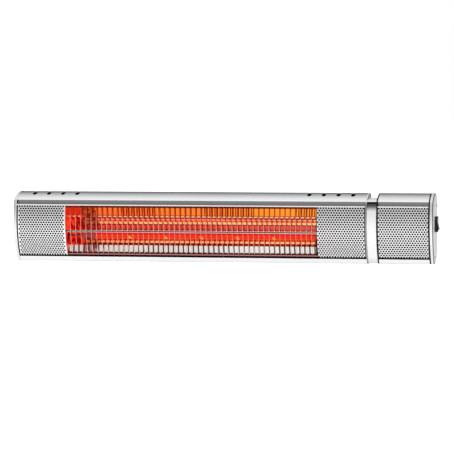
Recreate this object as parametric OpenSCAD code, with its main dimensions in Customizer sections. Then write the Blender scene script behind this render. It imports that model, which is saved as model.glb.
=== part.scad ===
// Wall-mounted infrared bar heater.
// X runs along the heater, -Y is its glowing front, +Z is up.
// The origin is the middle of the wall plate, on the face that lies against the wall.

/* [Housing section] */
// Height of the housing
body_h = 142; // [134:1:172]
// Height of the roof's peak above the pivot
peak_z = 70; // [66:1:80]
// Depth of the housing, front to back
body_d = 84; // [84:1:104]
// Distance from the wall to the back of the housing
wall_gap = 64; // [56:1:86]
// Radius of the bowed front
front_r = 130; // [120:1:180]
// Height of the foremost line of the bowed front above the pivot
front_z = 14; // [5:1:25]
// Radius of the arched roof
roof_r = 86; // [80:1:110]
// Depth at which the roof is highest
roof_peak_d = 56; // [48:1:56]
// Wall of the aluminium profile
wall_t = 2.2; // [1.6:0.1:3]
// Rounding where the roof meets the front
lip_r = 3.2; // [3:0.1:6]
// Rounding of the lower front edge
toe_r = 7; // [5:0.5:12]
// Rounding of the lower back edge, smaller where a tall housing leaves less room
heel_r = 40; // [24:1:40]
// Rounding of the upper back edge
nape_r = 28; // [18:0.5:28]

/* [Lengths along the heater] */
// Thickness of each outer end cap
cap_w = 6.5; // [5:0.1:10]
// Perforated panel left of the window
left_panel_w = 101; // [70:1:160]
// Window in front of the lamp
window_w = 515; // [400:1:800]
// Perforated panel right of the window
right_panel_w = 97; // [70:1:160]
// Plate that closes the right end of the housing
end_plate_w = 3; // [2:0.5:5]
// Slim neck between the housing and the control box
neck_w = 19; // [12:1:30]
// Each black gasket
gasket_w = 3; // [2:0.5:4]
// Control box
box_w = 101; // [90:1:160]

/* [Front trim] */
// Height of the roof lip's lower edge, below the peak
lip_drop = 17; // [15:0.5:20]
// Height of the shadow groove under the lip
groove_h = 8.2; // [5:0.1:9]
// Depth of the groove's back wall behind the foremost line
groove_d = 10; // [9:0.5:14]
// Height of the bright rim under the groove
rim_h = 2.6; // [1.5:0.1:3]
// Height of the bottom strip, up to the slot under the panels
strip_h = 10.5; // [10:0.1:16]
// Dark slot between the panels and the bottom strip
slot_h = 2.4; // [1.5:0.1:4]

/* [Perforated panels] */
// Thickness of the panel sheet
sheet_t = 1; // [0.8:0.1:1.5]
// Step back of the panels behind the end caps
panel_recess = 1.5; // [1:0.1:3]
// Distance between neighbouring holes
hole_pitch = 5.35; // [5:0.05:12]
// Diameter of a hole
hole_dia = 3.2; // [1.5:0.1:4]
// Gap between a panel's outer edge and the end cap or end plate beside it
panel_gap = 1.2; // [0.3:0.1:2]
// Rounding of the right panel's lower corner beside the window
panel_corner_r = 6; // [1:0.5:12]

/* [Wire guard] */
// Diameter of a guard wire
wire_dia = 1.5; // [1.4:0.1:2.5]
// Distance between the guard wires, rounded to fill the window
wire_pitch = 10.7; // [8:0.1:16]
// Diameter of the upper and lower cross rods
rod_dia = 3; // [2.5:0.1:4]
// Diameter of the middle cross rod
mid_rod_dia = 5; // [3:0.1:6]
// How far the cross rods run behind each panel
rod_tail = 16; // [10:1:30]

/* [Lamp and reflector] */
// Diameter of the quartz tube
tube_dia = 13; // [10:0.5:15]
// Wall of the quartz tube
tube_t = 1; // [0.8:0.1:1.5]
// Depth of the lamp's axis behind the foremost line
lamp_d = 38; // [34:1:42]
// Height of the lamp's axis above the pivot
lamp_z = -19; // [-22:1:-16]
// Distance from the window's left edge to the lamp's left base
lamp_inset = 30; // [9:1:60]
// Distance from the window's right edge to the lamp's right base
lamp_outset = 18; // [16:1:40]
// Length of each ceramic lamp base
base_w = 26; // [20:1:36]
// Distance between the discs that centre the filament
support_pitch = 74; // [50:1:110]
// Thickness of the reflector sheet
mirror_t = 0.8; // [0.6:0.1:1.2]

/* [Roof vents] */
// Vent slots above each panel
vent_count = 4; // [2:1:5]
// Distance between the vent slots
vent_pitch = 29.5; // [20:0.5:34]
// Width of a vent slot
vent_w = 8; // [4:0.5:12]
// Length of a vent slot
vent_l = 40; // [30:1:44]

/* [Rocker switch] */
// Length of the switch frame, upright
switch_l = 31; // [30:0.5:40]
// Width of the switch frame
switch_w = 25; // [24:0.5:34]
// Height of the frame above the end cap
switch_rise = 4; // [2:0.5:6]
// Depth of the switch's centre behind the foremost line
switch_d = 52; // [40:1:56]
// Height of the switch's centre above the pivot
switch_z = 8; // [-10:1:20]
// Angle that the button tilts each way from level
switch_tilt = 9; // [5:1:10]

/* [Wall bracket] */
// Width of the wall plate
plate_w = 262; // [200:2:360]
// Height of the wall plate
plate_h = 64; // [50:1:90]
// Thickness of the bracket steel
steel_t = 2.5; // [2:0.5:4]
// Distance between the wall screws, sideways
screw_dx = 200; // [150:2:300]
// Distance between the wall screws, upright
screw_dz = 40; // [30:1:60]
// Diameter of the wall screw holes
screw_hole_dia = 6.5; // [5:0.5:9]
// Distance of the tilt axis from the wall
pivot_y = 30; // [26:1:36]
// Diameter of the pivot bolts
bolt_dia = 8; // [6:1:10]

/* [Fits] */
// Radial clearance of a shaft in its bore
shaft_clear = 0.06; // [0.03:0.01:0.1]
// Clearance between parts that slot together
slot_clear = 0.3; // [0.2:0.05:0.5]
// Gap between the two halves of a joint, along its axis
side_clear = 0.3; // [0.2:0.05:0.6]

/* [Hidden] */
$fn = 48;
eps = 0.01;

// Colours as the real finishes show them.
silver = [0.80, 0.81, 0.82];
bright = [0.90, 0.90, 0.91];
black = [0.05, 0.05, 0.05];
ceramic_white = [0.90, 0.88, 0.83];
glow_red = [0.95, 0.25, 0.10];

// ---- Stations along X, from the left end to the right -------------------------------
total_w = 2 * cap_w + left_panel_w + window_w + right_panel_w + end_plate_w
    + neck_w + 2 * gasket_w + box_w;
x_left = -total_w / 2;
x_panel = x_left + cap_w;
x_window = x_panel + left_panel_w;
x_right_panel = x_window + window_w;
x_end_plate = x_right_panel + right_panel_w;
x_neck = x_end_plate + end_plate_w;
x_neck_gasket = x_neck + neck_w;
x_box = x_neck_gasket + gasket_w;
x_cap_gasket = x_box + box_w;
x_right_cap = x_cap_gasket + gasket_w;
x_right = x_right_cap + cap_w;
shell_w = x_end_plate - x_panel;

// ---- Heights and depths of the section ----------------------------------------------
z_top = peak_z;
z_bottom = peak_z - body_h;
skin = 0.5;                       // the profiles sit this far inside the end caps' edge
lip_z = z_top - lip_drop;
rim_z = lip_z - groove_h;
sill_z = z_bottom + strip_h;
panel_z = sill_z + slot_h;
panel_r = front_r - panel_recess; // outer face of the panels

// Y of a depth measured back from the foremost line of the housing.
function fy(d) = -(wall_gap + body_d) + d;

front_c = [fy(front_r), front_z];
roof_c = [fy(roof_peak_d), z_top - roof_r];
y_back = fy(body_d);
toe_c = [front_y(front_c, front_r - toe_r, z_bottom + toe_r), z_bottom + toe_r];
heel_fit = min(heel_r, y_back - toe_c[0] - 1);

// ---- Geometry of the outline ----------------------------------------------------------
function unit(a) = [cos(a), sin(a)];
function heading(p) = atan2(p[1], p[0]);

// Points on an arc from angle a to angle b, without its last point.
function arc(c, r, a, b, n) = [for (i = [0:n - 1]) c + r * unit(a + (b - a) * i / n)];

// Crossing of two circles, on the left of the line from the first centre to the second.
function crossing(c1, r1, c2, r2) =
    let (v = c2 - c1, d = norm(v), a = (r1 * r1 - r2 * r2 + d * d) / (2 * d),
        h = sqrt(r1 * r1 - a * a))
    c1 + v * a / d + [-v[1], v[0]] * h / d;

// Depth of a circle's front at height z.
function front_y(c, r, z) = c[0] - sqrt(r * r - (z - c[1]) * (z - c[1]));

// Distance of a rounded corner's centre from the outline drawn with no inset. It moves in
// only where the inset e leaves less than a small radius.
function corner_in(r, e) = max(r, e + 0.4);

// The closed D-shaped section: bowed front, arched roof, flat back and flat base with
// four rounded corners, every edge drawn in by e. The roof circle can be another one.
function section(e, rc = roof_c, rr = roof_r) =
    let (
        lip_in = corner_in(lip_r, e),
        toe_in = corner_in(toe_r, e),
        heel_in = corner_in(heel_fit, e),
        nape_in = corner_in(nape_r, e),
        lip = crossing(rc, rr - lip_in, front_c, front_r - lip_in),
        toe = [front_y(front_c, front_r - toe_in, z_bottom + toe_in), z_bottom + toe_in],
        heel = [y_back - heel_in, z_bottom + heel_in],
        nape_y = y_back - nape_in - rc[0],
        nape = [y_back - nape_in, rc[1] + sqrt(pow(rr - nape_in, 2) - nape_y * nape_y)],
        a_front = heading(lip - front_c),
        a_lip = heading(lip - rc),
        a_nape = heading(nape - rc),
        a_toe = heading(toe - front_c)
    )
    concat(
        arc(lip, lip_in - e, a_front, a_lip, 6),
        arc(rc, rr - e, a_lip, a_nape, 14),
        arc(nape, nape_in - e, a_nape, 0, 8),
        [nape + [nape_in - e, 0]],
        arc(heel, heel_in - e, 0, -90, 8),
        [heel - [0, heel_in - e]],
        arc(toe, toe_in - e, -90, a_toe > 0 ? a_toe - 360 : a_toe, 6),
        arc(front_c, front_r - e, a_toe > 0 ? a_toe : a_toe + 360, a_front, 20)
    );

// Sweeps a drawing of the Y-Z section along X.
module along_x(from, w) {
    translate([from, 0, 0])
        rotate([90, 0, 90])
            linear_extrude(w)
                children();
}

// A cylinder along X.
module rod_x(from, w, c, r) {
    along_x(from, w)
        translate(c)
            circle(r);
}

// A cylinder along Y, starting at y and running back.
module rod_y(x, y, z, r, l) {
    translate([x, y, z])
        rotate([-90, 0, 0])
            cylinder(h = l, r = r);
}

// A rectangle with rounded corners, centred.
module rounded_rect(w, h, r) {
    square([w - 2 * r, h], center = true);
    square([w, h - 2 * r], center = true);
    for (sx = [-1, 1])
        for (sy = [-1, 1])
            translate([sx * (w / 2 - r), sy * (h / 2 - r)])
                circle(r);
}

// ---- Screw ports and screws ------------------------------------------------------------
port_r = 3.4;
screw_r = 1.5;
port_bore_r = screw_r + 0.1;
inner = skin + wall_t;
port_roof_d = 57;
port_back = [fy(66), z_top - 26];
port_base_z = z_bottom + 14;
port_base = [front_y(front_c, front_r - inner, port_base_z) + 18, port_base_z];
port_roof = [fy(port_roof_d), roof_c[1] - port_r + 0.6
    + sqrt(pow(roof_r - inner, 2) - pow(port_roof_d - roof_peak_d, 2))];

// ---- Housing profiles ------------------------------------------------------------
// The extruded section shared by the housing and the control box: roof with its lip,
// back, base and bottom strip, the groove and bright rim above the panels, a flange
// that carries their lower edge, and three screw ports, two of them on webs.
module shell_profile(x, w) {
    flange_w = 14;
    flange_t = 2;
    ports = [port_back, port_base, port_roof];
    opening_y = front_y(front_c, front_r - inner, sill_z) + 1;
    difference() {
        union() {
            along_x(x, w)
                difference() {
                    polygon(section(skin));
                    polygon(section(inner));
                    translate([fy(-1), sill_z])
                        square([opening_y - fy(-1), lip_z - sill_z]);
                }
            along_x(x, w)
                translate([fy(groove_d), rim_z - rim_h])
                    square([wall_t, lip_z - rim_z + rim_h + 1.6]);
            along_x(x, w)
                translate([fy(panel_recess), rim_z - rim_h])
                    square([groove_d + wall_t / 2 - panel_recess, rim_h]);
            along_x(x, w)
                translate([front_y(front_c, front_r - skin, sill_z) + 0.4, sill_z - flange_t])
                    square([flange_w, flange_t]);
            for (p = ports)
                rod_x(x, w, p, port_r);
            along_x(x, w)
                translate([port_back[0], port_back[1] - wall_t / 2])
                    square([y_back - inner - port_back[0] + 0.6, wall_t]);
            along_x(x, w)
                translate([port_base[0] - wall_t / 2, z_bottom + inner - 0.6])
                    square([wall_t, port_base[1] - z_bottom - inner + 0.6]);
        }
        for (p = ports)
            rod_x(x - 1, w + 2, p, port_bore_r);
    }
}

// One vent slot cut down through the roof.
module vent_cut(x) {
    translate([x, fy(roof_peak_d), z_top - 14])
        linear_extrude(30)
            union() {
                square([vent_w, vent_l - vent_w], center = true);
                for (s = [-1, 1])
                    translate([0, s * (vent_l - vent_w) / 2])
                        circle(vent_w / 2);
            }
}

vent_first = 29.5;

module housing_shell() {
    color(silver)
        difference() {
            shell_profile(x_panel, shell_w);
            for (i = [0:vent_count - 1]) {
                vent_cut(x_panel + vent_first + i * vent_pitch);
                vent_cut(x_end_plate - vent_first - i * vent_pitch);
            }
            for (s = [-1, 1])
                for (z = [-1, 1])
                    rod_y(s * foot_screw_x, y_back - inner - 1, z * foot_screw_z,
                        foot_screw_r + 0.1, inner + 2);
        }
}

module control_box_shell() {
    color(silver)
        difference() {
            shell_profile(x_box, box_w);
            rod_y(gland_x, y_back - inner - 1, gland_z, gland_thread_r + 0.2, inner + 2);
        }
}

// ---- End caps, end plate, neck and gaskets ------------------------------------------------
// A cast plate with its outer edge rounded over. side is -1 on the left, 1 on the right.
module end_cap_body(x, side) {
    edge_steps = [[0, 2.6], [0.8, 0.8], [2.6, 0]];
    hull()
        for (s = edge_steps)
            along_x(side > 0 ? x - cap_w : x + s[0], cap_w - s[0])
                polygon(section(s[1]));
}

module cap_screw_holes(x) {
    for (p = [port_back, port_base])
        rod_x(x - 1, cap_w + 2, p, screw_r + 0.2);
}

module left_end_cap() {
    color(silver)
        difference() {
            end_cap_body(x_left, -1);
            cap_screw_holes(x_left);
        }
}

module right_end_cap() {
    color(silver)
        difference() {
            end_cap_body(x_right, 1);
            cap_screw_holes(x_right_cap);
            along_x(x_right_cap - 1, cap_w + 2)
                translate([fy(switch_d), switch_z])
                    square([switch_body_w + 2 * slot_clear, switch_body_l + 2 * slot_clear],
                        center = true);
        }
}

lead_hole = [fy(64), -10];

module housing_end_plate() {
    color(silver)
        along_x(x_end_plate, end_plate_w)
            difference() {
                polygon(section(0));
                translate(lead_hole)
                    rounded_rect(16, 40, 5);
                translate(port_roof)
                    circle(screw_r + 0.2);
            }
}

// The neck's roof is flatter and lower than the housing's. Under its lip a deep slit runs
// round the front, and below the slit the face slopes out to the bow.
neck_inset = 1.6;
neck_drop = 8.5;
neck_roof_r = 270;
neck_roof_c = [fy(roof_peak_d), z_top - neck_drop - neck_roof_r];
neck_wall = 3;
neck_slit_d = 14;
neck_slit_h = 3.5;
neck_step_d = 7;                 // depth of the face just under the slit
neck_slope_h = 12;               // from the lip down to where the face meets the bow

module neck_ring() {
    low = lip_z - neck_slope_h;
    slit = lip_z - neck_slit_h;
    color(bright)
        along_x(x_neck, neck_w)
            difference() {
                polygon(section(neck_inset, neck_roof_c, neck_roof_r));
                difference() {
                    polygon(section(neck_inset + neck_wall, neck_roof_c, neck_roof_r));
                    translate([fy(0), low - neck_wall])
                        square([neck_slit_d + neck_wall, neck_slope_h + 2 * neck_wall]);
                }
                polygon([[fy(-1), lip_z], [fy(neck_slit_d), lip_z], [fy(neck_slit_d), slit],
                    [fy(neck_step_d), slit], [front_y(front_c, front_r - neck_inset, low), low],
                    [fy(-1), low]]);
            }
}

module gasket_section(rim) {
    difference() {
        polygon(section(0.8));
        polygon(section(rim));
    }
}

module neck_gasket() {
    color(black)
        along_x(x_neck_gasket, gasket_w)
            gasket_section(9);
}

module cap_gasket() {
    color(black)
        along_x(x_cap_gasket, gasket_w)
            gasket_section(9.5);
}

// Pan-head screw along X. The head's flat side is at x, and the shank runs towards side.
module pan_screw(x, c, side, shank) {
    head_h = 1.8;
    translate([x, c[0], c[1]])
        rotate([0, side * 90, 0]) {
            cylinder(h = shank, r = screw_r);
            translate([0, 0, -head_h])
                intersection() {
                    cylinder(h = head_h, r = 3);
                    translate([0, 0, 3.4])
                        sphere(r = 3.4);
                }
        }
}

module cap_screws() {
    shank = cap_w + 10;
    color(bright) {
        for (p = [port_back, port_base]) {
            pan_screw(x_left, p, 1, shank);
            pan_screw(x_right, p, -1, shank + gasket_w);
        }
        pan_screw(x_neck, port_roof, -1, end_plate_w + 10);
    }
}

// ---- Perforated panels ------------------------------------------------------------
row_step = hole_pitch * sqrt(3) / 2 / panel_r * 180 / PI; // angle between two rows of holes
panel_a0 = asin((rim_z - rim_h - front_z) / panel_r);     // upper edge, above level
panel_a1 = asin((panel_z - front_z) / panel_r);           // lower edge
row_count = 1 + floor((panel_a0 - panel_a1 - 0.75 * row_step) / row_step);
row_first = (panel_a0 + panel_a1) / 2 + (row_count - 1) / 2 * row_step;

// Direction, in the Y-Z plane, of the front at an angle above level.
function front_dir(a) = [-cos(a), sin(a)];

// Edges of the flat strips that carry one row of holes each.
panel_angles = concat([panel_a0],
    [for (k = [1:row_count - 1]) row_first + (0.5 - k) * row_step], [panel_a1]);

// The rolled sheet follows the bow in flats, one to a row of holes. Its lower edge turns
// in and ends in a foot on the housing's flange.
module panel_section() {
    turn_w = 8.5;
    outer = [for (a = panel_angles) front_c + panel_r * front_dir(a)];
    inner_face = [for (a = panel_angles) front_c + (panel_r - sheet_t) * front_dir(a)];
    n = len(panel_angles);
    polygon(concat(outer, [for (i = [n - 1:-1:0]) inner_face[i]]));
    translate([outer[n - 1][0] + 0.3, panel_z])
        square([turn_w, sheet_t]);
    translate([outer[n - 1][0] + 0.3 + turn_w - sheet_t, sill_z])
        square([sheet_t, slot_h + sheet_t / 2]);
}

// Staggered round holes, square to the sheet in every row.
module perforated_panel(x, w) {
    edge = 0.3;
    run = w - 2 * edge - hole_dia;
    columns = floor(run / hole_pitch);
    start = x + (w - columns * hole_pitch) / 2;
    color(bright)
        difference() {
            along_x(x, w)
                panel_section();
            for (k = [0:row_count - 1]) {
                a = row_first - k * row_step;
                p = front_c + panel_r * front_dir(a);
                odd = k % 2;
                for (i = [0:columns - odd])
                    translate([start + (i + odd / 2) * hole_pitch, p[0], p[1]])
                        rotate([90 - a, 0, 0])
                            cylinder(h = 3 * sheet_t, r = hole_dia / 2, center = true, $fn = 24);
            }
        }
}

module left_panel() perforated_panel(x_panel + panel_gap, left_panel_w - panel_gap);

// The right panel's lower corner beside the window is rounded.
module right_panel() {
    r = panel_corner_r;
    difference() {
        perforated_panel(x_right_panel, right_panel_w - panel_gap);
        translate([x_right_panel, fy(40), panel_z])
            rotate([90, 0, 0])
                linear_extrude(60)
                    difference() {
                        translate([-1, -1])
                            square([r + 1, r + 1]);
                        translate([r, r])
                            circle(r);
                    }
    }
}

module control_panel() perforated_panel(x_box + slot_clear, box_w - 2 * slot_clear);

// ---- Wire guard ------------------------------------------------------------
wire_gaps = round(window_w / wire_pitch);
wire_step = window_w / wire_gaps;
wire_r = wire_dia / 2;
wire_bow_r = panel_r - sheet_t / 2 - wire_r;
wire_z0 = rim_z - rim_h - 0.5;
wire_z1 = sill_z + 0.8;
weld_gap = 0.1;
rod_face_r = wire_bow_r - wire_r - weld_gap;   // the rods' foremost line

mid_rod_z = -9.5;

// Height and diameter of each cross rod.
guard_rod_list = [[wire_z0 - 2.2, rod_dia], [mid_rod_z, mid_rod_dia],
    [panel_z + sheet_t + rod_dia / 2 + slot_clear, rod_dia]];

// One bowed wire, an arc about the front's centre line.
module guard_wire(x) {
    a0 = asin((wire_z0 - front_z) / wire_bow_r);
    a1 = asin((wire_z1 - front_z) / wire_bow_r);
    translate([x, front_c[0], front_c[1]])
        rotate([90, 0, 90])
            rotate([0, 0, 180 - a0])
                rotate_extrude(angle = a0 - a1, $fn = 96)
                    translate([wire_bow_r, 0])
                        circle(wire_r, $fn = 16);
}

module guard_wires() {
    color(bright)
        for (i = [1:wire_gaps - 1])
            guard_wire(x_window + i * wire_step);
}

function rod_centre(rod) = [front_y(front_c, rod_face_r - rod[1] / 2, rod[0]), rod[0]];

module guard_rods() {
    color(bright)
        for (rod = guard_rod_list)
            rod_x(x_window - rod_tail, window_w + 2 * rod_tail, rod_centre(rod), rod[1] / 2);
}

// ---- Reflector ------------------------------------------------------------
// Folds of the polished trough as depth and height, from the upper edge to the lower.
// The flats face the lamp at growing angles, and the lower edge folds back under.
mirror_top_d = groove_d + wall_t + 0.1;
mirror_toe_z = panel_z + 4.2;
mirror_toe_d = front_y(front_c, rod_face_r - rod_dia, mirror_toe_z) - fy(0) + 2.25;
mirror_folds = [
    [mirror_top_d, rim_z + 4], [mirror_top_d, rim_z - rim_h - 1], [36, 22.5], [50, 6],
    [58, -12], [58, -27], [50, -37], [mirror_toe_d, mirror_toe_z],
    [mirror_toe_d + 7.5, sill_z + slot_clear + mirror_t]
];
x_mirror = x_window - 1;
mirror_w = window_w + 14;

function fold_point(i) = [fy(mirror_folds[i][0]), mirror_folds[i][1]];

// Unit normal of the flat from point a to point b, towards the back of the trough.
function flat_normal(a, b) = let (v = (b - a) / norm(b - a)) [-v[1], v[0]];

// A fold moved outwards by t so that both flats beside it keep their thickness.
function outer_fold(i, t) =
    let (
        n = len(mirror_folds),
        p = fold_point(i),
        n1 = i > 0 ? flat_normal(fold_point(i - 1), p) : flat_normal(p, fold_point(i + 1)),
        n2 = i < n - 1 ? flat_normal(p, fold_point(i + 1)) : n1,
        m = n1 + n2
    )
    p + m * 2 * t / (m * m);

module reflector() {
    n = len(mirror_folds);
    color(bright)
        along_x(x_mirror, mirror_w)
            polygon(concat([for (i = [0:n - 1]) fold_point(i)],
                [for (i = [n - 1:-1:0]) outer_fold(i, mirror_t)]));
}

// The end plates close the trough round the lamp. Tabs turned outwards at their front
// corners carry the guard's cross rods behind the panels.
tab_w = 15;
tab_r = rod_face_r - rod_dia - weld_gap;
mid_tab_r = rod_face_r - mid_rod_dia - weld_gap;

module arc_band(r, t, a0, a1) {
    steps = 8;
    angles = [for (i = [0:steps]) a0 + (a1 - a0) * i / steps];
    polygon(concat([for (a = angles) front_c + r * front_dir(a)],
        [for (i = [steps:-1:0]) front_c + (r - t) * front_dir(angles[i])]));
}

module reflector_end_section() {
    a_low = asin((-48 - front_z) / tab_r);
    a_high = asin((34 - front_z) / tab_r);
    steps = 12;
    front_edge = [for (i = [0:steps])
        front_c + tab_r * front_dir(a_low + (a_high - a_low) * i / steps)];
    difference() {
        polygon(concat([fold_point(1) + [0.6, -0.4], fold_point(2), fold_point(3),
            fold_point(4), fold_point(5), fold_point(6), fold_point(7) + [0.6, 0.3]],
            front_edge));
        translate([fy(lamp_d), lamp_z])
            circle(tube_dia / 2 + 2.5);
        translate(rod_centre(guard_rod_list[1]))
            circle(mid_rod_dia / 2 + slot_clear);
    }
}

module reflector_end(x, tab_x) {
    // Radius of each tab's face, and the heights of its upper and lower edge.
    tabs = [[tab_r, rim_z - rim_h - 3, 26], [mid_tab_r, mid_rod_z + 7, mid_rod_z - 7],
        [tab_r, -40, panel_z + sheet_t + 0.4]];
    color(bright) {
        along_x(x, 1)
            reflector_end_section();
        for (t = tabs)
            along_x(tab_x, tab_w)
                arc_band(t[0], 1, asin((t[1] - front_z) / t[0]), asin((t[2] - front_z) / t[0]));
    }
}

module left_reflector_end() reflector_end(x_mirror - 1, x_mirror - tab_w);
module right_reflector_end() reflector_end(x_mirror + mirror_w, x_mirror + mirror_w);

// ---- Lamp ------------------------------------------------------------
lamp_c = [fy(lamp_d), lamp_z];
x_base_l = x_window + lamp_inset;
x_base_r = x_right_panel + lamp_outset;
seat_w = 6;                                 // how far the tube sits in each base
x_tube = x_base_l + base_w - seat_w;
tube_w = x_base_r + seat_w - x_tube;
tube_r = tube_dia / 2;
filament_r = 1.3;
base_r = tube_r + 2.5;

module quartz_tube() {
    color(glow_red, 0.6)
        along_x(x_tube, tube_w)
            translate(lamp_c)
                difference() {
                    circle(tube_r);
                    circle(tube_r - tube_t);
                }
}

module heating_filament() {
    color([1, 0.75, 0.3])
        rod_x(x_tube + slot_clear, tube_w - 2 * slot_clear, lamp_c, filament_r);
}

support_count = floor((tube_w - 2 * seat_w) / support_pitch);

// Thin discs inside the tube, each with a bore for the filament.
module filament_supports() {
    first = x_tube + (tube_w - (support_count - 1) * support_pitch) / 2;
    color([1, 0.6, 0.2])
        for (i = [0:support_count - 1])
            along_x(first + i * support_pitch, 0.8)
                translate(lamp_c)
                    difference() {
                        circle(tube_r - tube_t - 0.2);
                        circle(filament_r + 0.15);
                    }
}

// Ceramic base: a collar round the tube's end, a waist for the holder and a solid tail.
module lamp_base(x, flip) {
    waist_w = 6;
    translate([x, lamp_c[0], lamp_c[1]])
        rotate([0, flip ? -90 : 90, 0])
            difference() {
                rotate_extrude()
                    polygon([[0, 0], [base_r, 0], [base_r, 8], [base_r - 2, 8],
                        [base_r - 2, 8 + waist_w], [base_r, 8 + waist_w], [base_r, base_w],
                        [0, base_w]]);
                translate([0, 0, base_w - seat_w])
                    cylinder(h = seat_w + 1, r = tube_r + 0.1);
            }
}

module left_lamp_base() color(ceramic_white) lamp_base(x_base_l, false);
module right_lamp_base() color(ceramic_white) lamp_base(x_base_r + base_w, true);

// Spring-steel clip: a C round the base's waist on an arm that ends in a riveted foot.
module lamp_holder(x, foot_y) {
    clip_r = base_r - 2 + 0.15;
    arm_h = 9;
    w = 5;
    color(silver) {
        along_x(x, w)
            union() {
                difference() {
                    translate(lamp_c)
                        circle(clip_r + 1.2);
                    translate(lamp_c)
                        circle(clip_r);
                    translate([lamp_c[0] - 2 * clip_r - 3, lamp_c[1] - 5])
                        square([2 * clip_r, 10]);
                }
                translate([lamp_c[0] + clip_r + 0.4, lamp_c[1] - arm_h / 2])
                    square([foot_y - lamp_c[0] - clip_r - 0.4, arm_h]);
            }
        translate([x - 6, foot_y - 1, lamp_c[1] - 7])
            cube([w + 12, 1, 14]);
    }
}

module left_lamp_holder() lamp_holder(x_base_l + 8.5, fy(58) - 0.2);

// The right base stands behind the panel, past the trough, on a longer arm from the back.
module right_lamp_holder() lamp_holder(x_base_r + base_w - 13.5, y_back - inner - 0.1);

// ---- Switch ------------------------------------------------------------
switch_body_l = switch_l - 2.6;
switch_body_w = switch_w - 2.6;
switch_wall = 1.4;
well_l = switch_body_l - 2 * switch_wall;
well_w = switch_body_w - 2 * switch_wall;
switch_deep = 18;
x_switch_top = x_right + switch_rise;
x_rock = x_switch_top - 5;                  // rocking axis
trunnion_r = 1.5;

module switch_frame() {
    color(black)
        difference() {
            union() {
                along_x(x_right, switch_rise)
                    translate([fy(switch_d), switch_z])
                        rounded_rect(switch_w, switch_l, 2.5);
                along_x(x_right - switch_deep, switch_deep)
                    translate([fy(switch_d), switch_z])
                        square([switch_body_w, switch_body_l], center = true);
            }
            along_x(x_right - switch_deep + 3, switch_deep + switch_rise)
                translate([fy(switch_d), switch_z])
                    square([well_w, well_l], center = true);
            rod_y(x_rock, fy(switch_d) - well_w / 2 - 1.2, switch_z,
                trunnion_r + shaft_clear, well_w + 2.4);
        }
}

// The button at rest has its upper end pressed in.
module rocker_button() {
    half = well_l / 2 - 0.45 - 5 * tan(switch_tilt);
    w = well_w - 2 * slot_clear;
    color([0.08, 0.08, 0.08])
        translate([x_rock, fy(switch_d), switch_z])
            rotate([0, -switch_tilt, 0]) {
                translate([0, w / 2, 0])
                    rotate([90, 0, 0])
                        linear_extrude(w)
                            polygon([[6.4, half], [5.9, half * 0.5], [5.7, 0],
                                [5.9, -half * 0.5], [6.4, -half], [0, -half],
                                [-5, -half * 0.6], [-5, half * 0.6], [0, half]]);
                rod_y(0, -w / 2 - 1.1, 0, trunnion_r, w + 2.2);
            }
}

// ---- Inside the control box ------------------------------------------------------------
block = [44, 12, 22];
block_at = [x_box + 16, y_back - inner - block[1] - 0.1, 6];
pole_step = 14;

module terminal_block() {
    color(ceramic_white)
        translate(block_at)
            difference() {
                cube(block);
                for (i = [0:2])
                    translate([8 + i * pole_step, -1, block[2] / 2])
                        rotate([-90, 0, 0])
                            cylinder(h = 12, r = 2.5);
            }
}

// Bimetal cut-out on the inner face of the housing's end plate.
module thermal_cutout() {
    color(black)
        translate([x_end_plate - 0.1, fy(66), 24])
            rotate([0, -90, 0]) {
                cylinder(h = 1, r = 9);
                translate([0, 0, 1])
                    cylinder(h = 8, r = 7);
            }
}

// Straight runs of sleeved wire joined by slightly fuller round elbows.
module wire_path(points, r) {
    for (i = [0:len(points) - 2]) {
        v = points[i + 1] - points[i];
        translate(points[i])
            rotate([0, acos(v[2] / norm(v)), atan2(v[1], v[0])])
                cylinder(h = norm(v), r = r, $fn = 16);
    }
    for (i = [1:len(points) - 2])
        translate(points[i])
            sphere(r = r + 0.2, $fn = 16);
}

// One lead from each lamp base, along the back of the trough, through the neck and into
// the terminal block.
module lamp_leads() {
    r = 1.6;
    y_run = lead_hole[0];
    z_long = lead_hole[1] + 3;
    z_short = lead_hole[1] + 12;
    x_long = block_at[0] + 8;
    x_short = x_long + pole_step;
    z_pole = block_at[2] + block[2] / 2;
    y_in = block_at[1] + 6;
    left_x = x_window - 6;
    right_x = x_end_plate - 12;
    color([0.7, 0.2, 0.15]) {
        wire_path([[x_base_l - 0.2, lamp_c[0], lamp_z], [left_x, lamp_c[0], lamp_z],
            [left_x, y_run, z_long], [x_long, y_run, z_long], [x_long, y_run, z_pole],
            [x_long, y_in, z_pole]], r);
        wire_path([[x_base_r + base_w + 0.2, lamp_c[0], lamp_z],
            [right_x, lamp_c[0], lamp_z], [right_x, y_run, z_short],
            [x_short, y_run, z_short], [x_short, y_run, z_pole],
            [x_short, y_in, z_pole]], r);
    }
}

// Leads from the back of the switch: one to the last pole of the terminal block, one
// through the neck to the thermal cut-out.
module switch_leads() {
    r = 1.6;
    x_tail = x_right - switch_deep;
    y_switch = fy(switch_d);
    y_run = lead_hole[0] + 4;
    z_run = lead_hole[1] - 16;
    x_pole = block_at[0] + 8 + 2 * pole_step;
    z_pole = block_at[2] + block[2] / 2;
    x_cutout = x_end_plate - 20;
    color([0.2, 0.25, 0.6]) {
        wire_path([[x_tail - 2, y_switch, switch_z + 6], [x_tail - 6, y_run - 2, z_pole],
            [x_pole, y_run - 2, z_pole], [x_pole, block_at[1] + 6, z_pole]], r);
        wire_path([[x_tail - 2, y_switch, switch_z - 6], [x_tail - 6, y_run, z_run],
            [x_cutout, y_run, z_run], [x_cutout, y_run + 8, 24],
            [x_cutout + 9.8, y_run - 4, 24]], r);
    }
}

// ---- Cable inlet ------------------------------------------------------------
gland_x = x_box + box_w / 2;
gland_z = -14;
gland_thread_r = 6;
cord_bore_r = 4;

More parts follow.
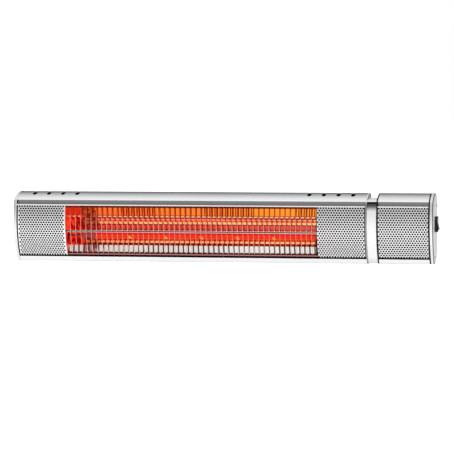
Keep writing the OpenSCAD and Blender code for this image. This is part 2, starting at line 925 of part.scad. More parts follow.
module cable_gland() {
    back = y_back - skin;
    color(black)
        translate([gland_x, back, gland_z])
            rotate([-90, 0, 0])
                difference() {
                    union() {
                        cylinder(h = 5, r = 9, $fn = 6);
                        translate([0, 0, -inner - 7])
                            cylinder(h = inner + 8, r = gland_thread_r);
                        translate([0, 0, 5])
                            cylinder(h = 7, r = 7.6);
                        translate([0, 0, 12])
                            cylinder(h = 4, r1 = 7.6, r2 = 5.6);
                    }
                    translate([0, 0, -inner - 8])
                        cylinder(h = 40, r = cord_bore_r);
                }
}

module gland_nut() {
    color(silver)
        translate([gland_x, y_back - inner, gland_z])
            rotate([90, 0, 0])
                difference() {
                    cylinder(h = 4, r = 9.2, $fn = 6);
                    translate([0, 0, -1])
                        cylinder(h = 6, r = gland_thread_r + 0.05);
                }
}

// ---- Wall bracket and pivot ------------------------------------------------------------
ear_x = plate_w / 2;
ear_r = 16;
bolt_r = bolt_dia / 2;
pivot_c = [-pivot_y, 0];
washer_t = 1.6;
washer_r = bolt_dia;
head_r = bolt_dia * 0.94;                      // across the corners of the hexagon
head_h = bolt_dia * 0.66;
lug_x = ear_x - steel_t - washer_t - side_clear; // outer face of the housing's lug

// Bent steel bracket: a plate on the wall with four screw holes and an ear at each end.
module wall_plate() {
    ear_h = 44;
    color(silver) {
        rotate([90, 0, 0])
            linear_extrude(steel_t)
                difference() {
                    rounded_rect(plate_w, plate_h, 6);
                    for (sx = [-1, 1])
                        for (sz = [-1, 1])
                            translate([sx * screw_dx / 2, sz * screw_dz / 2])
                                circle(screw_hole_dia / 2);
                }
        for (s = [-1, 1])
            along_x(s > 0 ? ear_x - steel_t : -ear_x, steel_t)
                difference() {
                    union() {
                        polygon([[-eps, ear_h / 2], [-pivot_y, ear_r], [-pivot_y, -ear_r],
                            [-eps, -ear_h / 2]]);
                        translate(pivot_c)
                            circle(ear_r);
                    }
                    translate(pivot_c)
                        circle(bolt_r + shaft_clear);
                }
    }
}

// Two bent lugs on the back of the housing, beside the wall plate's ears.
foot_w = 34;
foot_h = 48;
foot_screw_r = 2.5;
foot_screw_x = lug_x - steel_t - foot_w / 2;
foot_screw_z = 16;

module back_brackets() {
    back = y_back - skin;
    color(silver)
        for (s = [-1, 1]) {
            along_x(s > 0 ? lug_x - steel_t : -lug_x, steel_t)
                difference() {
                    union() {
                        polygon([[back, foot_h / 2], [-pivot_y, ear_r], [-pivot_y, -ear_r],
                            [back, -foot_h / 2]]);
                        translate(pivot_c)
                            circle(ear_r);
                    }
                    translate(pivot_c)
                        circle(bolt_r + shaft_clear);
                }
            difference() {
                translate([s > 0 ? lug_x - foot_w : -lug_x, back, -foot_h / 2])
                    cube([foot_w, steel_t, foot_h]);
                for (z = [-1, 1])
                    rod_y(s * foot_screw_x, back - 1, z * foot_screw_z,
                        foot_screw_r + 0.1, steel_t + 2);
            }
        }
}

module bracket_screws() {
    face = y_back - skin + steel_t;
    color(bright)
        for (s = [-1, 1])
            for (z = [-1, 1])
                translate([s * foot_screw_x, face, z * foot_screw_z])
                    rotate([90, 0, 0]) {
                        cylinder(h = steel_t + wall_t + 2.2, r = foot_screw_r);
                        translate([0, 0, -2.6])
                            intersection() {
                                cylinder(h = 2.6, r = 4.6);
                                translate([0, 0, 5])
                                    sphere(r = 5);
                            }
                    }
}

// Hexagon bolts through each pair of ears, with their heads outside.
module pivot_bolts() {
    grip = 2 * steel_t + washer_t + side_clear;
    color(bright)
        for (s = [-1, 1])
            translate([s * ear_x, -pivot_y, 0])
                rotate([0, -s * 90, 0]) {
                    cylinder(h = grip + washer_t + bolt_dia + 4, r = bolt_r);
                    translate([0, 0, -head_h])
                        cylinder(h = head_h, r = head_r, $fn = 6);
                }
}

module pivot_washer(x) {
    along_x(x, washer_t)
        translate(pivot_c)
            difference() {
                circle(washer_r);
                circle(bolt_r + shaft_clear);
            }
}

// One washer between each pair of ears and one under each nut.
module pivot_washers() {
    color(bright)
        for (s = [-1, 1]) {
            between = ear_x - steel_t - washer_t;
            under = lug_x - steel_t - side_clear - washer_t;
            pivot_washer(s > 0 ? between : -between - washer_t);
            pivot_washer(s > 0 ? under : -under - washer_t);
        }
}

module pivot_nuts() {
    nut_h = bolt_dia * 0.8;
    top = lug_x - steel_t - side_clear - washer_t;
    color(bright)
        for (s = [-1, 1])
            translate([s * top, -pivot_y, 0])
                rotate([0, -s * 90, 0])
                    difference() {
                        cylinder(h = nut_h, r = head_r, $fn = 6);
                        translate([0, 0, -1])
                            cylinder(h = nut_h + 2, r = bolt_r + 0.03);
                    }
}

wall_plate();
pivot_bolts();
pivot_washers();
pivot_nuts();
back_brackets();
bracket_screws();
housing_shell();
left_end_cap();
housing_end_plate();
left_panel();
right_panel();
guard_wires();
guard_rods();
reflector();
left_reflector_end();
right_reflector_end();
quartz_tube();
heating_filament();
filament_supports();
left_lamp_base();
right_lamp_base();
left_lamp_holder();
right_lamp_holder();
neck_ring();
neck_gasket();
control_box_shell();
control_panel();
cap_gasket();
right_end_cap();
switch_frame();
rocker_button();
terminal_block();
thermal_cutout();
lamp_leads();
switch_leads();
cable_gland();
gland_nut();
cap_screws();
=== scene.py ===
import math

import bmesh
import bpy
import numpy as np
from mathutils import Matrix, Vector


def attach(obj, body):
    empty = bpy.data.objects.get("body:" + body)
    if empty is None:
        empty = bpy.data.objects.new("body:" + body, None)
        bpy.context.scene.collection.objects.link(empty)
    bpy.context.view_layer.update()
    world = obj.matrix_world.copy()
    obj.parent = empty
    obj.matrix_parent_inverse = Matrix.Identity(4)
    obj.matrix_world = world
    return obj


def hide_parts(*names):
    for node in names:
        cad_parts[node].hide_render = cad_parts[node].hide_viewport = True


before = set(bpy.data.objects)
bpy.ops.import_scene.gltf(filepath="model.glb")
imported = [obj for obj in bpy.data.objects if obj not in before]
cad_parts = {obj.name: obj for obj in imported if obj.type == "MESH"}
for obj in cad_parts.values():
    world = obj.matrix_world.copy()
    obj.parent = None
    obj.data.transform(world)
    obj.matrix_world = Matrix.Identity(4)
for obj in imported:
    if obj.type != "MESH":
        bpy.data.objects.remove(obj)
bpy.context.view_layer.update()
scene = bpy.context.scene


# ---- Camera --------------------------------------------------------------------------
# A long lens far off, a little to the right of the heater's front and slightly above it,
# so that the right end cap and a thin strip of the roof show.
azimuth, elevation, distance = math.radians(10.5), math.radians(2.5), 5.7
target = Vector((0.0137, -0.148, 0.0014))
back = Vector((math.sin(azimuth) * math.cos(elevation),
               -math.cos(azimuth) * math.cos(elevation), math.sin(elevation)))
camera = bpy.data.objects.new("camera", bpy.data.cameras.new("camera"))
scene.collection.objects.link(camera)
camera.data.sensor_width = 36
camera.data.lens = 225.75
camera.location = target + back * distance
camera.rotation_mode = "QUATERNION"
camera.rotation_quaternion = back.to_track_quat("Z", "Y")
scene.camera = camera


# ---- Studio --------------------------------------------------------------------------
# White all round as the camera sees it. What the metal mirrors is a white ceiling, side
# walls with a dark band, a wall behind the heater that is dark low down, and an aisle
# behind the camera that is bright low down and grey higher up.
def node(tree, kind, inputs=None, **settings):
    """Adds a shader node. An input is linked if its value is a socket, and set if not."""
    made = tree.nodes.new("ShaderNode" + kind)
    for key, value in settings.items():
        setattr(made, key, value)
    for key, value in (inputs or {}).items():
        if isinstance(value, bpy.types.NodeSocket):
            tree.links.new(value, made.inputs[key])
        else:
            made.inputs[key].default_value = value
    return made


def calc(tree, operation, *values):
    """The output of a Math node."""
    return node(tree, "Math", dict(enumerate(values)), operation=operation).outputs[0]


def axes(tree, vector):
    """The X, Y and Z outputs of a vector."""
    return node(tree, "SeparateXYZ", {0: vector}).outputs


def portion(tree, value, low, high, start=0.0, end=1.0):
    """A value's way from low to high, as a number from start to end that stops there."""
    return node(tree, "MapRange", {"Value": value, "From Min": low, "From Max": high,
                                   "To Min": start, "To Max": end}).outputs[0]


def ramp(tree, value, stops, between="LINEAR"):
    """Colour of a ramp through (position, colour) stops; a plain number is a grey."""
    made = node(tree, "ValToRGB", {"Fac": value})
    made.color_ramp.interpolation = between
    elements = made.color_ramp.elements
    while len(elements) < len(stops):
        elements.new(1.0)
    for element, (position, colour) in zip(elements, stops):
        element.position = position
        grey = isinstance(colour, float)
        element.color = (colour,) * 3 + (1.0,) if grey else (*colour, 1.0)
    return made.outputs["Color"]


def blend(tree, factor, a, b):
    """Colour a where factor is 0 and b where it is 1."""
    made = node(tree, "Mix", data_type="RGBA")
    for socket, value in zip((made.inputs[0], made.inputs[6], made.inputs[7]),
                             (factor, a, b)):
        if isinstance(value, bpy.types.NodeSocket):
            tree.links.new(value, socket)
        else:
            socket.default_value = value
    return made.outputs[2]


scene.view_settings.view_transform = "Standard"
scene.world = bpy.data.worlds.new("studio")
scene.world.use_nodes = True
sky = scene.world.node_tree
sky.nodes.clear()
east, north, up = axes(sky, node(sky, "TexCoord").outputs["Generated"])
wall = ramp(sky, up, [(0.0, 0.14), (0.07, 0.2), (0.14, 0.38), (0.3, 0.5), (0.6, 0.68),
                      (0.85, 0.9), (0.95, 1.0)])
risen = calc(sky, "MULTIPLY", calc(sky, "ADD", up, 1.0), 0.5)
aisle = ramp(sky, risen, [(0.0, 0.85), (0.4, 0.98), (0.5, 0.88), (0.6, 0.65), (0.69, 0.5),
                          (0.75, 0.55), (0.82, 0.9), (0.95, 1.0)])
behind = portion(sky, north, -0.25, 0.25)
room = blend(sky, behind, aisle, wall)
right = portion(sky, east, 0.02, 0.15)
room = blend(sky, calc(sky, "MULTIPLY", right, behind), room, (0.62, 0.62, 0.63, 1.0))
sides = portion(sky, calc(sky, "ABSOLUTE", east), 0.55, 0.75)
flank = ramp(sky, up, [(0.0, 0.95), (0.04, 0.85), (0.12, 0.12), (0.45, 0.2), (0.7, 0.95)])
west = portion(sky, east, -0.5, -0.4, 0.76, 1.0)
room = blend(sky, sides, room, calc(sky, "MULTIPLY", flank, west))
seen = node(sky, "LightPath").outputs["Is Camera Ray"]
lit = node(sky, "Background", {"Color": blend(sky, seen, room, (1.0, 1.0, 1.0, 1.0)),
                               "Strength": 1.0})
node(sky, "OutputWorld", {"Surface": lit.outputs[0]})

ceiling = bpy.data.objects.new("ceiling", bpy.data.lights.new("ceiling", "AREA"))
scene.collection.objects.link(ceiling)
ceiling.data.size, ceiling.data.energy = 3.0, 30.0
ceiling.location = (0.0, -1.0, 3.2)
ceiling.rotation_mode = "QUATERNION"
ceiling.rotation_quaternion = Vector((0.0, -0.9, 3.2)).to_track_quat("Z", "Y")
ceiling.visible_glossy = False


# ---- Floor ---------------------------------------------------------------------------
# Pale painted boards with a faint mottling. The part out in front glows as painted light,
# more than the part under the heater, and the metal mirrors it.
def new_material(name, values):
    """A node material whose shader's own sockets hold the values: (material, its tree, its
    Principled shader, Object coordinates)."""
    made = bpy.data.materials.new(name)
    made.use_nodes = True
    tree = made.node_tree
    tree.nodes.clear()
    shader = node(tree, "BsdfPrincipled", values)
    node(tree, "OutputMaterial", {"Surface": shader.outputs[0]})
    return made, tree, shader, node(tree, "TexCoord").outputs["Object"]


def link(tree, socket, value):
    """Feeds a node's output into an input."""
    tree.links.new(value, socket)


def noise(tree, vector, scale, detail=2.0):
    """A cloudy value round a half; the scale is its waves per metre."""
    return node(tree, "TexNoise", {"Vector": vector, "Scale": scale,
                                   "Detail": detail}).outputs[0]


def bridged(loops, closed=True):
    """Quads between rows of points. Row i, point j is loops[i][j]; closed rows wrap."""
    loops = np.asarray(loops, float)
    rows, count = loops.shape[:2]
    i, j = np.meshgrid(np.arange(rows - 1), np.arange(count if closed else count - 1),
                       indexing="ij")
    a, b = i * count + j, i * count + (j + 1) % count
    return loops.reshape(-1, 3), np.stack([a, b, b + count, a + count], -1).reshape(-1, 4)


def turn_outward(mesh):
    """Makes every face of a closed mesh look outward."""
    work = bmesh.new()
    work.from_mesh(mesh)
    bmesh.ops.recalc_face_normals(work, faces=work.faces)
    work.to_mesh(mesh)
    work.free()


def piece(name, parts, material, rims=(), sharp=35.0):
    """One mesh object from (points in mm, quads) parts and flat rims, welded where points
    agree to 1/500 mm and with its faces turned outward. Edges over the sharp angle, in
    degrees, stay crisp."""
    counts = np.cumsum([0] + [len(points) for points, _ in parts])
    points = np.concatenate([p for p, _ in parts] + [np.asarray(r) for r in rims])
    quads = np.concatenate([q + c for (_, q), c in zip(parts, counts)])
    keys, index = np.unique(np.round(points * 500).astype(np.int64), axis=0,
                            return_inverse=True)
    index = index.reshape(-1)
    welded = np.zeros((len(keys), 3))
    welded[index] = points
    quads = index[quads]
    same = quads == np.roll(quads, -1, axis=1)
    whole, folded = quads[same.sum(1) == 0], same.sum(1) == 1
    triangles = quads[folded][~same[folded]].reshape(-1, 3)
    faces = whole.tolist() + triangles.tolist()
    start = counts[-1]
    for r in rims:
        ring = index[start:start + len(r)]
        faces.append(ring[ring != np.roll(ring, -1)].tolist())
        start += len(r)
    mesh = bpy.data.meshes.new(name)
    mesh.from_pydata((welded * 0.001).tolist(), [], faces)
    turn_outward(mesh)
    mesh.shade_smooth()
    mesh.set_sharp_from_angle(angle=math.radians(sharp))
    mesh.materials.append(material)
    made = bpy.data.objects.new(name, mesh)
    scene.collection.objects.link(made)
    return made


pale, tree, shader, place = new_material("pale_floor", {
    "Roughness": 0.9, "Emission Color": (1.0, 1.0, 1.0, 1.0)})
link(tree, shader.inputs["Base Color"],
     ramp(tree, noise(tree, place, 0.6, 3.0), [(0.3, 0.93), (0.7, 0.96)]))
seen = node(tree, "LightPath").outputs["Is Camera Ray"]
# Painted light: the floor's glow grows out in front of the heater.
front_glow = portion(tree, axes(tree, place)[1], -0.35, -1.1, 0.17, 0.42)
link(tree, shader.inputs["Emission Strength"],
     calc(tree, "ADD", calc(tree, "MULTIPLY", seen, 0.52), front_glow))
floor_z, side_x, near_y, far_y = -450.0, 60000.0, -1900.0, 120000.0
x, y = np.meshgrid([-side_x, side_x], [near_y, far_y], indexing="ij")
floor = piece("floor", [bridged(np.dstack([x, y, np.full((2, 2), floor_z)]), False)], pale)


# ---- Housing and control box shells --------------------------------------------------
# Extruded aluminium with a satin silver skin: arched roof with a rounded lip, a groove and
# a thin rim under it, a strip along the bottom, and four vent slots near each end.
front_y, front_z, front_r = -18.0, 14.0, 130.0  # circle of the bowed front
roof_y, crown = -92.0, (-16.0, 86.0)  # circle of the roof: Y, then (Z, radius)
back_y, foot_z = -64.0, -72.0  # the two flats
lip_r, toe_r, heel_r, nape_r = 3.2, 7.0, 40.0, 28.0  # the roundings between them
rim_z, groove_z, strip_z = 42.2, 53.0, -61.5  # rim's lower face, groove's top, strip's top


def shader_group(name, inputs, outputs):
    """An empty shader node group: (tree, its input sockets, its output sockets)."""
    tree = bpy.data.node_groups.new(name, "ShaderNodeTree")
    for label, kind, value in inputs:
        socket = tree.interface.new_socket(label, in_out="INPUT",
                                           socket_type="NodeSocket" + kind)
        socket.default_value = value
    for label, kind in outputs:
        tree.interface.new_socket(label, in_out="OUTPUT", socket_type="NodeSocket" + kind)
    return tree, tree.nodes.new("NodeGroupInput").outputs, tree.nodes.new(
        "NodeGroupOutput").inputs


# Shared skin of every hard surface: slow drifts of tone, a fine grain that can be drawn out
# along one axis, and a slight relief.
skin, given, result = shader_group("surface_skin", [
    ("Vector", "Vector", (0.0, 0.0, 0.0)), ("Stretch", "Vector", (1.0, 1.0, 1.0)),
    ("Grain", "Float", 600.0), ("Colour", "Color", (0.8, 0.8, 0.8, 1.0)),
    ("Tone Depth", "Float", 0.05), ("Roughness", "Float", 0.3),
    ("Roughness Depth", "Float", 0.06), ("Relief", "Float", 0.05)],
    [("Colour", "Color"), ("Roughness", "Float"), ("Normal", "Vector")])
drawn = node(skin, "VectorMath", {0: given["Vector"], 1: given["Stretch"]},
             operation="MULTIPLY").outputs[0]
grain = noise(skin, drawn, given["Grain"])
drift = noise(skin, given["Vector"], 14.0, 3.0)
both = calc(skin, "SUBTRACT", calc(skin, "ADD", grain, drift), 1.0)
tone = calc(skin, "ADD", 1.0, calc(skin, "MULTIPLY", both, given["Tone Depth"]))
link(skin, result["Colour"], node(skin, "VectorMath", {
    0: given["Colour"], "Scale": tone}, operation="SCALE").outputs[0])
link(skin, result["Roughness"],
     calc(skin, "ADD", given["Roughness"],
          calc(skin, "MULTIPLY", both, given["Roughness Depth"])))
link(skin, result["Normal"], node(skin, "Bump", {
    "Height": grain, "Strength": given["Relief"], "Distance": 0.0003}).outputs[0])


def finish_of(name, colour, roughness, metallic, tone=0.05, relief=0.05, grain=600.0,
              stretch=(1.0, 1.0, 1.0), **values):
    """A node material, as new_material's, with colour, roughness and relief from the
    shared skin group. Further values are named for the shader's sockets."""
    made, tree, shader, place = new_material(name, {
        "Metallic": metallic, **{key.replace("_", " "): values[key] for key in values}})
    skinned = node(tree, "Group", node_tree=skin)
    for label, value in (("Stretch", stretch), ("Grain", grain),
                         ("Colour", (*colour, 1.0)), ("Tone Depth", tone),
                         ("Roughness", roughness), ("Roughness Depth", 0.06),
                         ("Relief", relief)):
        skinned.inputs[label].default_value = value
    link(tree, skinned.inputs["Vector"], place)
    link(tree, shader.inputs["Base Color"], skinned.outputs["Colour"])
    link(tree, shader.inputs["Roughness"], skinned.outputs["Roughness"])
    link(tree, shader.inputs["Normal"], skinned.outputs["Normal"])
    return made, tree, shader, place


def arc(centre, radius, start, end, count):
    """Points centre + radius (cos t, sin t), t from start to end in degrees."""
    t = np.radians(np.linspace(start, end, count))
    return np.column_stack([centre[0] + radius * np.cos(t), centre[1] + radius * np.sin(t)])


def section_arcs(inset, crown=crown):
    """Centre, radius, start and end angle of each arc of the D-shaped Y-Z section, every
    edge drawn in by inset. The lip's centre is where the roof and front circles, both
    drawn in by its radius, cross."""
    roof_z, roof_r = crown
    front, roof = np.array([front_y, front_z]), np.array([roof_y, roof_z])
    lip_in, toe_in, heel_in, nape_in = [max(r, inset + 0.4)
                                        for r in (lip_r, toe_r, heel_r, nape_r)]
    v = front - roof
    d = math.hypot(*v)
    a = ((roof_r - lip_in) ** 2 - (front_r - lip_in) ** 2 + d * d) / (2 * d)
    h = math.sqrt((roof_r - lip_in) ** 2 - a * a)
    lip = roof + v * a / d + np.array([-v[1], v[0]]) * h / d
    toe = np.array([bow(foot_z + toe_in, toe_in), foot_z + toe_in])
    heel = np.array([back_y - heel_in, foot_z + heel_in])
    nape_y = back_y - nape_in
    nape = np.array([nape_y, roof_z + math.sqrt((roof_r - nape_in) ** 2
                                                - (nape_y - roof_y) ** 2)])
    turn = [math.degrees(math.atan2(*(p - c)[::-1]))
            for p, c in ((lip, front), (lip, roof), (nape, roof), (toe, front))]
    return {"lip": (lip, lip_in - inset, turn[0], turn[1]),
            "roof": (roof, roof_r - inset, turn[1], turn[2]),
            "nape": (nape, nape_in - inset, turn[2], 0.0),
            "heel": (heel, heel_in - inset, 0.0, -90.0),
            "toe": (toe, toe_in - inset, -90.0, turn[3]),
            "front": (front, front_r - inset, turn[3] + 360.0, turn[0])}


def bow(z, inset):
    """Y of the bowed front at height z: front_y - sqrt((r - inset)^2 - (z - front_z)^2)."""
    return front_y - np.sqrt((front_r - inset) ** 2 - (z - front_z) ** 2)


def bow_angle(z, inset):
    """Angle on the bow's circle at height z, in degrees."""
    return 180.0 - math.degrees(math.asin((z - front_z) / (front_r - inset)))


def softened(path, radius):
    """The path with every sharp corner replaced by a small curve: for corner V with A and
    B at the radius along its sides, (1-t)^2 A + 2t(1-t) V + t^2 B."""
    path = np.asarray(path, float)
    made = [path[0]]
    t = np.linspace(0.0, 1.0, 5)[:, None]
    for before, corner, after in zip(path, path[1:], path[2:]):
        u, w = before - corner, after - corner
        lu, lw = math.hypot(*u), math.hypot(*w)
        if lu < 1e-6 or lw < 1e-6 or u @ w / (lu * lw) < -0.85:
            made.append(corner)
            continue
        r = min(radius, 0.45 * lu, 0.45 * lw)
        a, b = corner + u / lu * r, corner + w / lw * r
        made.extend((1 - t) ** 2 * a + 2 * t * (1 - t) * corner + t * t * b)
    return np.array(made + [path[-1]])


def at_x(path, x):
    """A Y-Z path as 3-D points at x."""
    return np.column_stack([np.full(len(path), float(x)), path])


def swept(path, stations):
    """The open Y-Z path carried along X: P(i, j) = (x_i, y_j, z_j)."""
    return bridged([at_x(path, x) for x in stations], False)


def roof_height(y, inset):
    """Height of the roof over y: the roof's arc, then the rounding at the back edge."""
    arcs = section_arcs(inset)
    (roof, r, _, last), (nape, n, _, _) = arcs["roof"], arcs["nape"]
    on_roof = roof[1] + np.sqrt(r * r - (y - roof[0]) ** 2)
    on_nape = nape[1] + np.sqrt(np.maximum(n * n - (y - nape[0]) ** 2, 0.0))
    return np.where(y < roof[0] + r * math.cos(math.radians(last)), on_roof, on_nape)


def inner_face(y, z, depth=1.5, crown=crown):
    """Whether points lie deeper than that inside every arc and flat of the section."""
    (roof_z, roof_r), heel_y, heel_z = crown, back_y - heel_r, foot_z + heel_r
    nape_y, nape_z = back_y - nape_r, roof_z + roof_r - nape_r
    return ((np.hypot(y - front_y, z - front_z) < front_r - depth)
            & (y < back_y - depth) & (z > foot_z + depth)
            & ((y > roof_y) | (np.hypot(y - roof_y, z - roof_z) < roof_r - depth))
            & ((y < nape_y) | (z < nape_z)
               | (np.hypot(y - nape_y, z - nape_z) < nape_r - depth))
            & ((y < heel_y) | (z > heel_z)
               | (np.hypot(y - heel_y, z - heel_z) < heel_r - depth)))


def inlaid(made, material, chosen):
    """Gives the material to the faces whose centre passes the test."""
    made.data.materials.append(material)
    count = len(made.data.polygons)
    centres, indices = np.empty(count * 3), np.empty(count, np.int32)
    made.data.polygons.foreach_get("center", centres)
    made.data.polygons.foreach_get("material_index", indices)
    picked = chosen(*(centres.reshape(-1, 3).T * 1000.0))
    indices[picked] = len(made.data.materials) - 1
    made.data.polygons.foreach_set("material_index", indices)


def shell(name, x0, x1, vents=()):
    """The extruded profile from x0 to x1. Round the section run a path behind the vents'
    band, a path in front of it, and the band itself, with a slot cut at each vent: a
    rounded rectangle swept inward, whose rim is the points at one distance from its
    middle line."""
    skin_in, wall_in, edge = 0.5, 2.7, 0.5  # insets of both faces, radius of the edges
    slot_y, band_front, band_back = -114.0, -129.0, -90.0
    slot_r, slot_half, slot_bevel, tile_half = 4.0, 6.0, 0.4, 7.0
    line, flange, flange_deep = 0.8, 2.0, 14.4  # seam line, flange's thickness and depth
    rim_back, rim_front, rim_top, groove_y = -135.8, -146.5, 44.8, -138.0
    shade_front, wall_front, near = -144.0, -136.0, 0.2  # where the inlays begin
    outer, inner = section_arcs(skin_in), section_arcs(wall_in)
    flange_y, under = bow(strip_z, skin_in) + flange_deep, strip_z - flange

    def nape_part(arcs):
        centre, radius, _, _ = arcs["nape"]
        start = math.degrees(math.acos((band_back - centre[0]) / radius))
        return arc(centre, radius, start, 0.0, 13)

    def roof_part(arcs, start_y, end_y, count):
        centre, radius, _, _ = arcs["roof"]
        turn = [math.degrees(math.acos((y - centre[0]) / radius)) for y in (start_y, end_y)]
        return arc(centre, radius, *turn, count)

    def front_part(arcs, start, end, count):
        return arc(*arcs["front"][:2], start, end, count)

    behind = np.concatenate([
        nape_part(outer), arc(*outer["heel"], 21), arc(*outer["toe"], 9),
        front_part(outer, outer["front"][2], bow_angle(strip_z - line, skin_in), 5),
        [[bow(strip_z, skin_in), strip_z], [flange_y, strip_z], [flange_y, under],
         [bow(under, wall_in), under]],
        front_part(inner, bow_angle(under, wall_in), inner["front"][2], 4),
        arc(*inner["toe"], 9)[::-1], arc(*inner["heel"], 21)[::-1], nape_part(inner)[::-1]])
    lip_end = arc(*outer["lip"], 2)[-1][0]
    ahead = np.concatenate([
        roof_part(inner, band_front, rim_back, 7),
        [[rim_back, rim_z], [rim_front, rim_z], [rim_front, rim_top], [groove_y, rim_top],
         [groove_y, groove_z], [bow(groove_z, skin_in), groove_z]],
        front_part(outer, bow_angle(groove_z, skin_in), outer["front"][3], 5)[1:],
        arc(*outer["lip"], 10), roof_part(outer, lip_end, band_front, 16)])
    behind, ahead = softened(behind, edge), softened(ahead, edge)

    across = tile_half * np.array([-1.0, -0.5, 0.0, 0.5, 1.0])
    along = np.array([band_front - slot_y, -12.9, -10.8, -8.4, -6.0, -3.0, 0.0, 3.0, 6.0,
                      9.0, 14.0, band_back - slot_y])
    stations = np.unique(np.concatenate([[x0, x1], *[v + across for v in vents]]))
    parts = [swept(behind, stations), swept(ahead, stations)]
    bands = [np.column_stack([slot_y + along, roof_height(slot_y + along, inset)])
             for inset in (skin_in, wall_in)]
    edges = [x0] + [v + side for v in vents for side in (-tile_half, tile_half)] + [x1]
    for a, b in zip(edges[::2], edges[1::2]):
        parts += [swept(band, [a, b]) for band in bands]
    border = np.array([(across[0], v) for v in along]
                      + [(u, along[-1]) for u in across[1:-1]]
                      + [(across[-1], v) for v in along[::-1]]
                      + [(u, along[0]) for u in across[-2:0:-1]])
    middle = np.clip(border[:, 1], -slot_half, slot_half)
    spoke = np.column_stack([border[:, 0], border[:, 1] - middle])
    spoke /= np.linalg.norm(spoke, axis=1)[:, None]
    slot = np.column_stack([np.zeros(len(border)), middle]) + slot_r * spoke
    bevel = slot + slot_bevel * spoke
    for v in vents:
        rings = []
        for outline, inset in ((border, skin_in), (bevel, skin_in),
                               (slot, skin_in + slot_bevel), (slot, wall_in),
                               (border, wall_in)):
            y = slot_y + outline[:, 1]
            rings.append(np.column_stack([v + outline[:, 0], y, roof_height(y, inset)]))
        parts.append(bridged(rings))
    loop = np.concatenate([behind[:-1], bands[1][::-1], ahead[1:-1], bands[0][:-1]])
    made = piece(name, parts, satin, [at_x(loop, x0), at_x(loop[::-1], x1)])
    # Painted shade and light: the groove under the lip is a darker copy of the aluminium,
    # the rim's front a lighter one as a painted highlight, and the inner faces and the slot
    # over the strip are near-black painted shade.
    inlaid(made, groove_shade, lambda x, y, z: (
        (z > rim_top - near / 2.0) & (z < groove_z + near) & (y > shade_front)))
    inlaid(made, rim_painted_highlight, lambda x, y, z: (
        (z > rim_z - near) & (z < rim_top - near) & (y < rim_front + 0.6)))
    inlaid(made, painted_shade, lambda x, y, z: (
        (inner_face(y, z)
         & ((z < rim_z - near) | (z > groove_z + 0.5) | (y > wall_front)))
        | ((z > strip_z - 0.3) & (z < strip_z + 0.5))))
    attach(made, "heater")
    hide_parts(name)
    made.name = name + "_smooth"


# Near-black painted shade for inner faces, slots, hole rims and hollows where only shade
# falls.
painted_shade = finish_of("shade_painted_inside", (0.004, 0.004, 0.004), 0.9, 0.0, tone=0.3,
                  Specular_IOR_Level=0.05)[0]
# Painted shade: a darker copy of the aluminium for the groove under the lip.
groove_shade = finish_of("groove_aluminium", (0.27, 0.27, 0.275), 0.4, 1.0)[0]
# Painted highlight: a lighter, less metallic copy of the aluminium for the rim's front.
rim_painted_highlight = finish_of("rim_aluminium", (0.92, 0.91, 0.91), 0.4, 0.7)[0]
satin = finish_of("satin_aluminium", (0.95, 0.96, 0.97), 0.24, 1.0, tone=0.04, relief=0.04,
                  grain=900.0, stretch=(0.04, 1.0, 1.0),
                  Specular_Tint=(0.2, 0.2, 0.2, 1.0))[0]
shell("housing_shell", -421.0, 292.0,
      [-389.9, -360.4, -330.9, -301.4, 175.6, 205.1, 234.6, 264.1])
shell("control_box_shell", 317.0, 418.0)


# ---- End caps and the housing's end plate --------------------------------------------
# Cast aluminium plates of the housing's section with rounded rims, painted silver. The
# right-hand one has an opening for the rocker switch.
def section(inset, crown=crown, groove=None):
    """The closed D-shaped loop of Y-Z points. A groove (low, high, points) is a notch in
    the bow between two heights, whose outline is the points."""
    arcs = section_arcs(inset, crown)
    parts = [arc(*arcs[key], count) for key, count in
             (("lip", 11), ("roof", 25), ("nape", 21), ("heel", 25), ("toe", 9))]
    centre, radius, low, high = arcs["front"]
    if groove:
        z0, z1, notch = groove
        parts += [arc(centre, radius, low, bow_angle(z0, inset), 41), notch,
                  arc(centre, radius, bow_angle(z1, inset), high, 6)]
    else:
        parts.append(arc(centre, radius, low, high, 51))
    loop = np.concatenate(parts)
    return loop[np.linalg.norm(loop - np.roll(loop, -1, axis=0), axis=1) > 1e-6]


def plate(x0, x1, rounding, both_sides=False):
    """Loops of a plate from x0 to x1. Its rim at x1, and at x0 if asked, is a quarter
    circle: x moves by r (1 - sin t) and the inset by r (1 - cos t)."""
    r = rounding if x1 > x0 else -rounding
    rim = [(r * (1.0 - math.sin(t)), rounding * (1.0 - math.cos(t)))
           for t in np.radians(np.linspace(0.0, 90.0, 8))]
    start = [(x0 + step, inset) for step, inset in rim[::-1]] if both_sides else [(x0, 0.0)]
    return [at_x(section(inset), x)
            for x, inset in start + [(x1 - step, inset) for step, inset in rim]]


def graded(tree, position, low, high, stops):
    """Colours the skin of a material by a coordinate in metres: each stop is a share of
    the way from low to high and its colour."""
    link(tree, tree.nodes["Group"].inputs["Colour"],
         ramp(tree, portion(tree, position, low, high), stops))


cast, tree, _, place = finish_of("silver_cast", (0.80, 0.81, 0.82), 0.32, 1.0,
                                 relief=0.10, grain=500.0)
# Painted light on the right cap's rounded rim: a lighter band along its front as a painted
# highlight, a dark painted line of shade where the rounding turns, and the side face beyond
# a little darker.
graded(tree, axes(tree, place)[0], 0.424, 0.428, [
    (0.0, (0.86, 0.87, 0.88)), (0.34, (0.92, 0.93, 0.94)), (0.46, (0.17, 0.172, 0.175)),
    (0.84, (0.17, 0.172, 0.175)), (0.86, (0.76, 0.77, 0.78))])
# Painted shade: a darker copy of the cast finish for the end plate's lower part beside the
# neck.
lower_plate_shade = finish_of("lower_plate_shade", (0.36, 0.365, 0.37), 0.4, 1.0)[0]
cap_x, cap_face, cap_rim = 421.0, 427.5, 2.6
loops = plate(-cap_x, -cap_face, cap_rim)
left_cap = piece("left_end_cap_smooth", [bridged(loops)], cast, [loops[0], loops[-1]])
# Painted shade: the cap's inner face is near-black.
inlaid(left_cap, painted_shade, lambda x, y, z: x > -cap_x - 0.01)

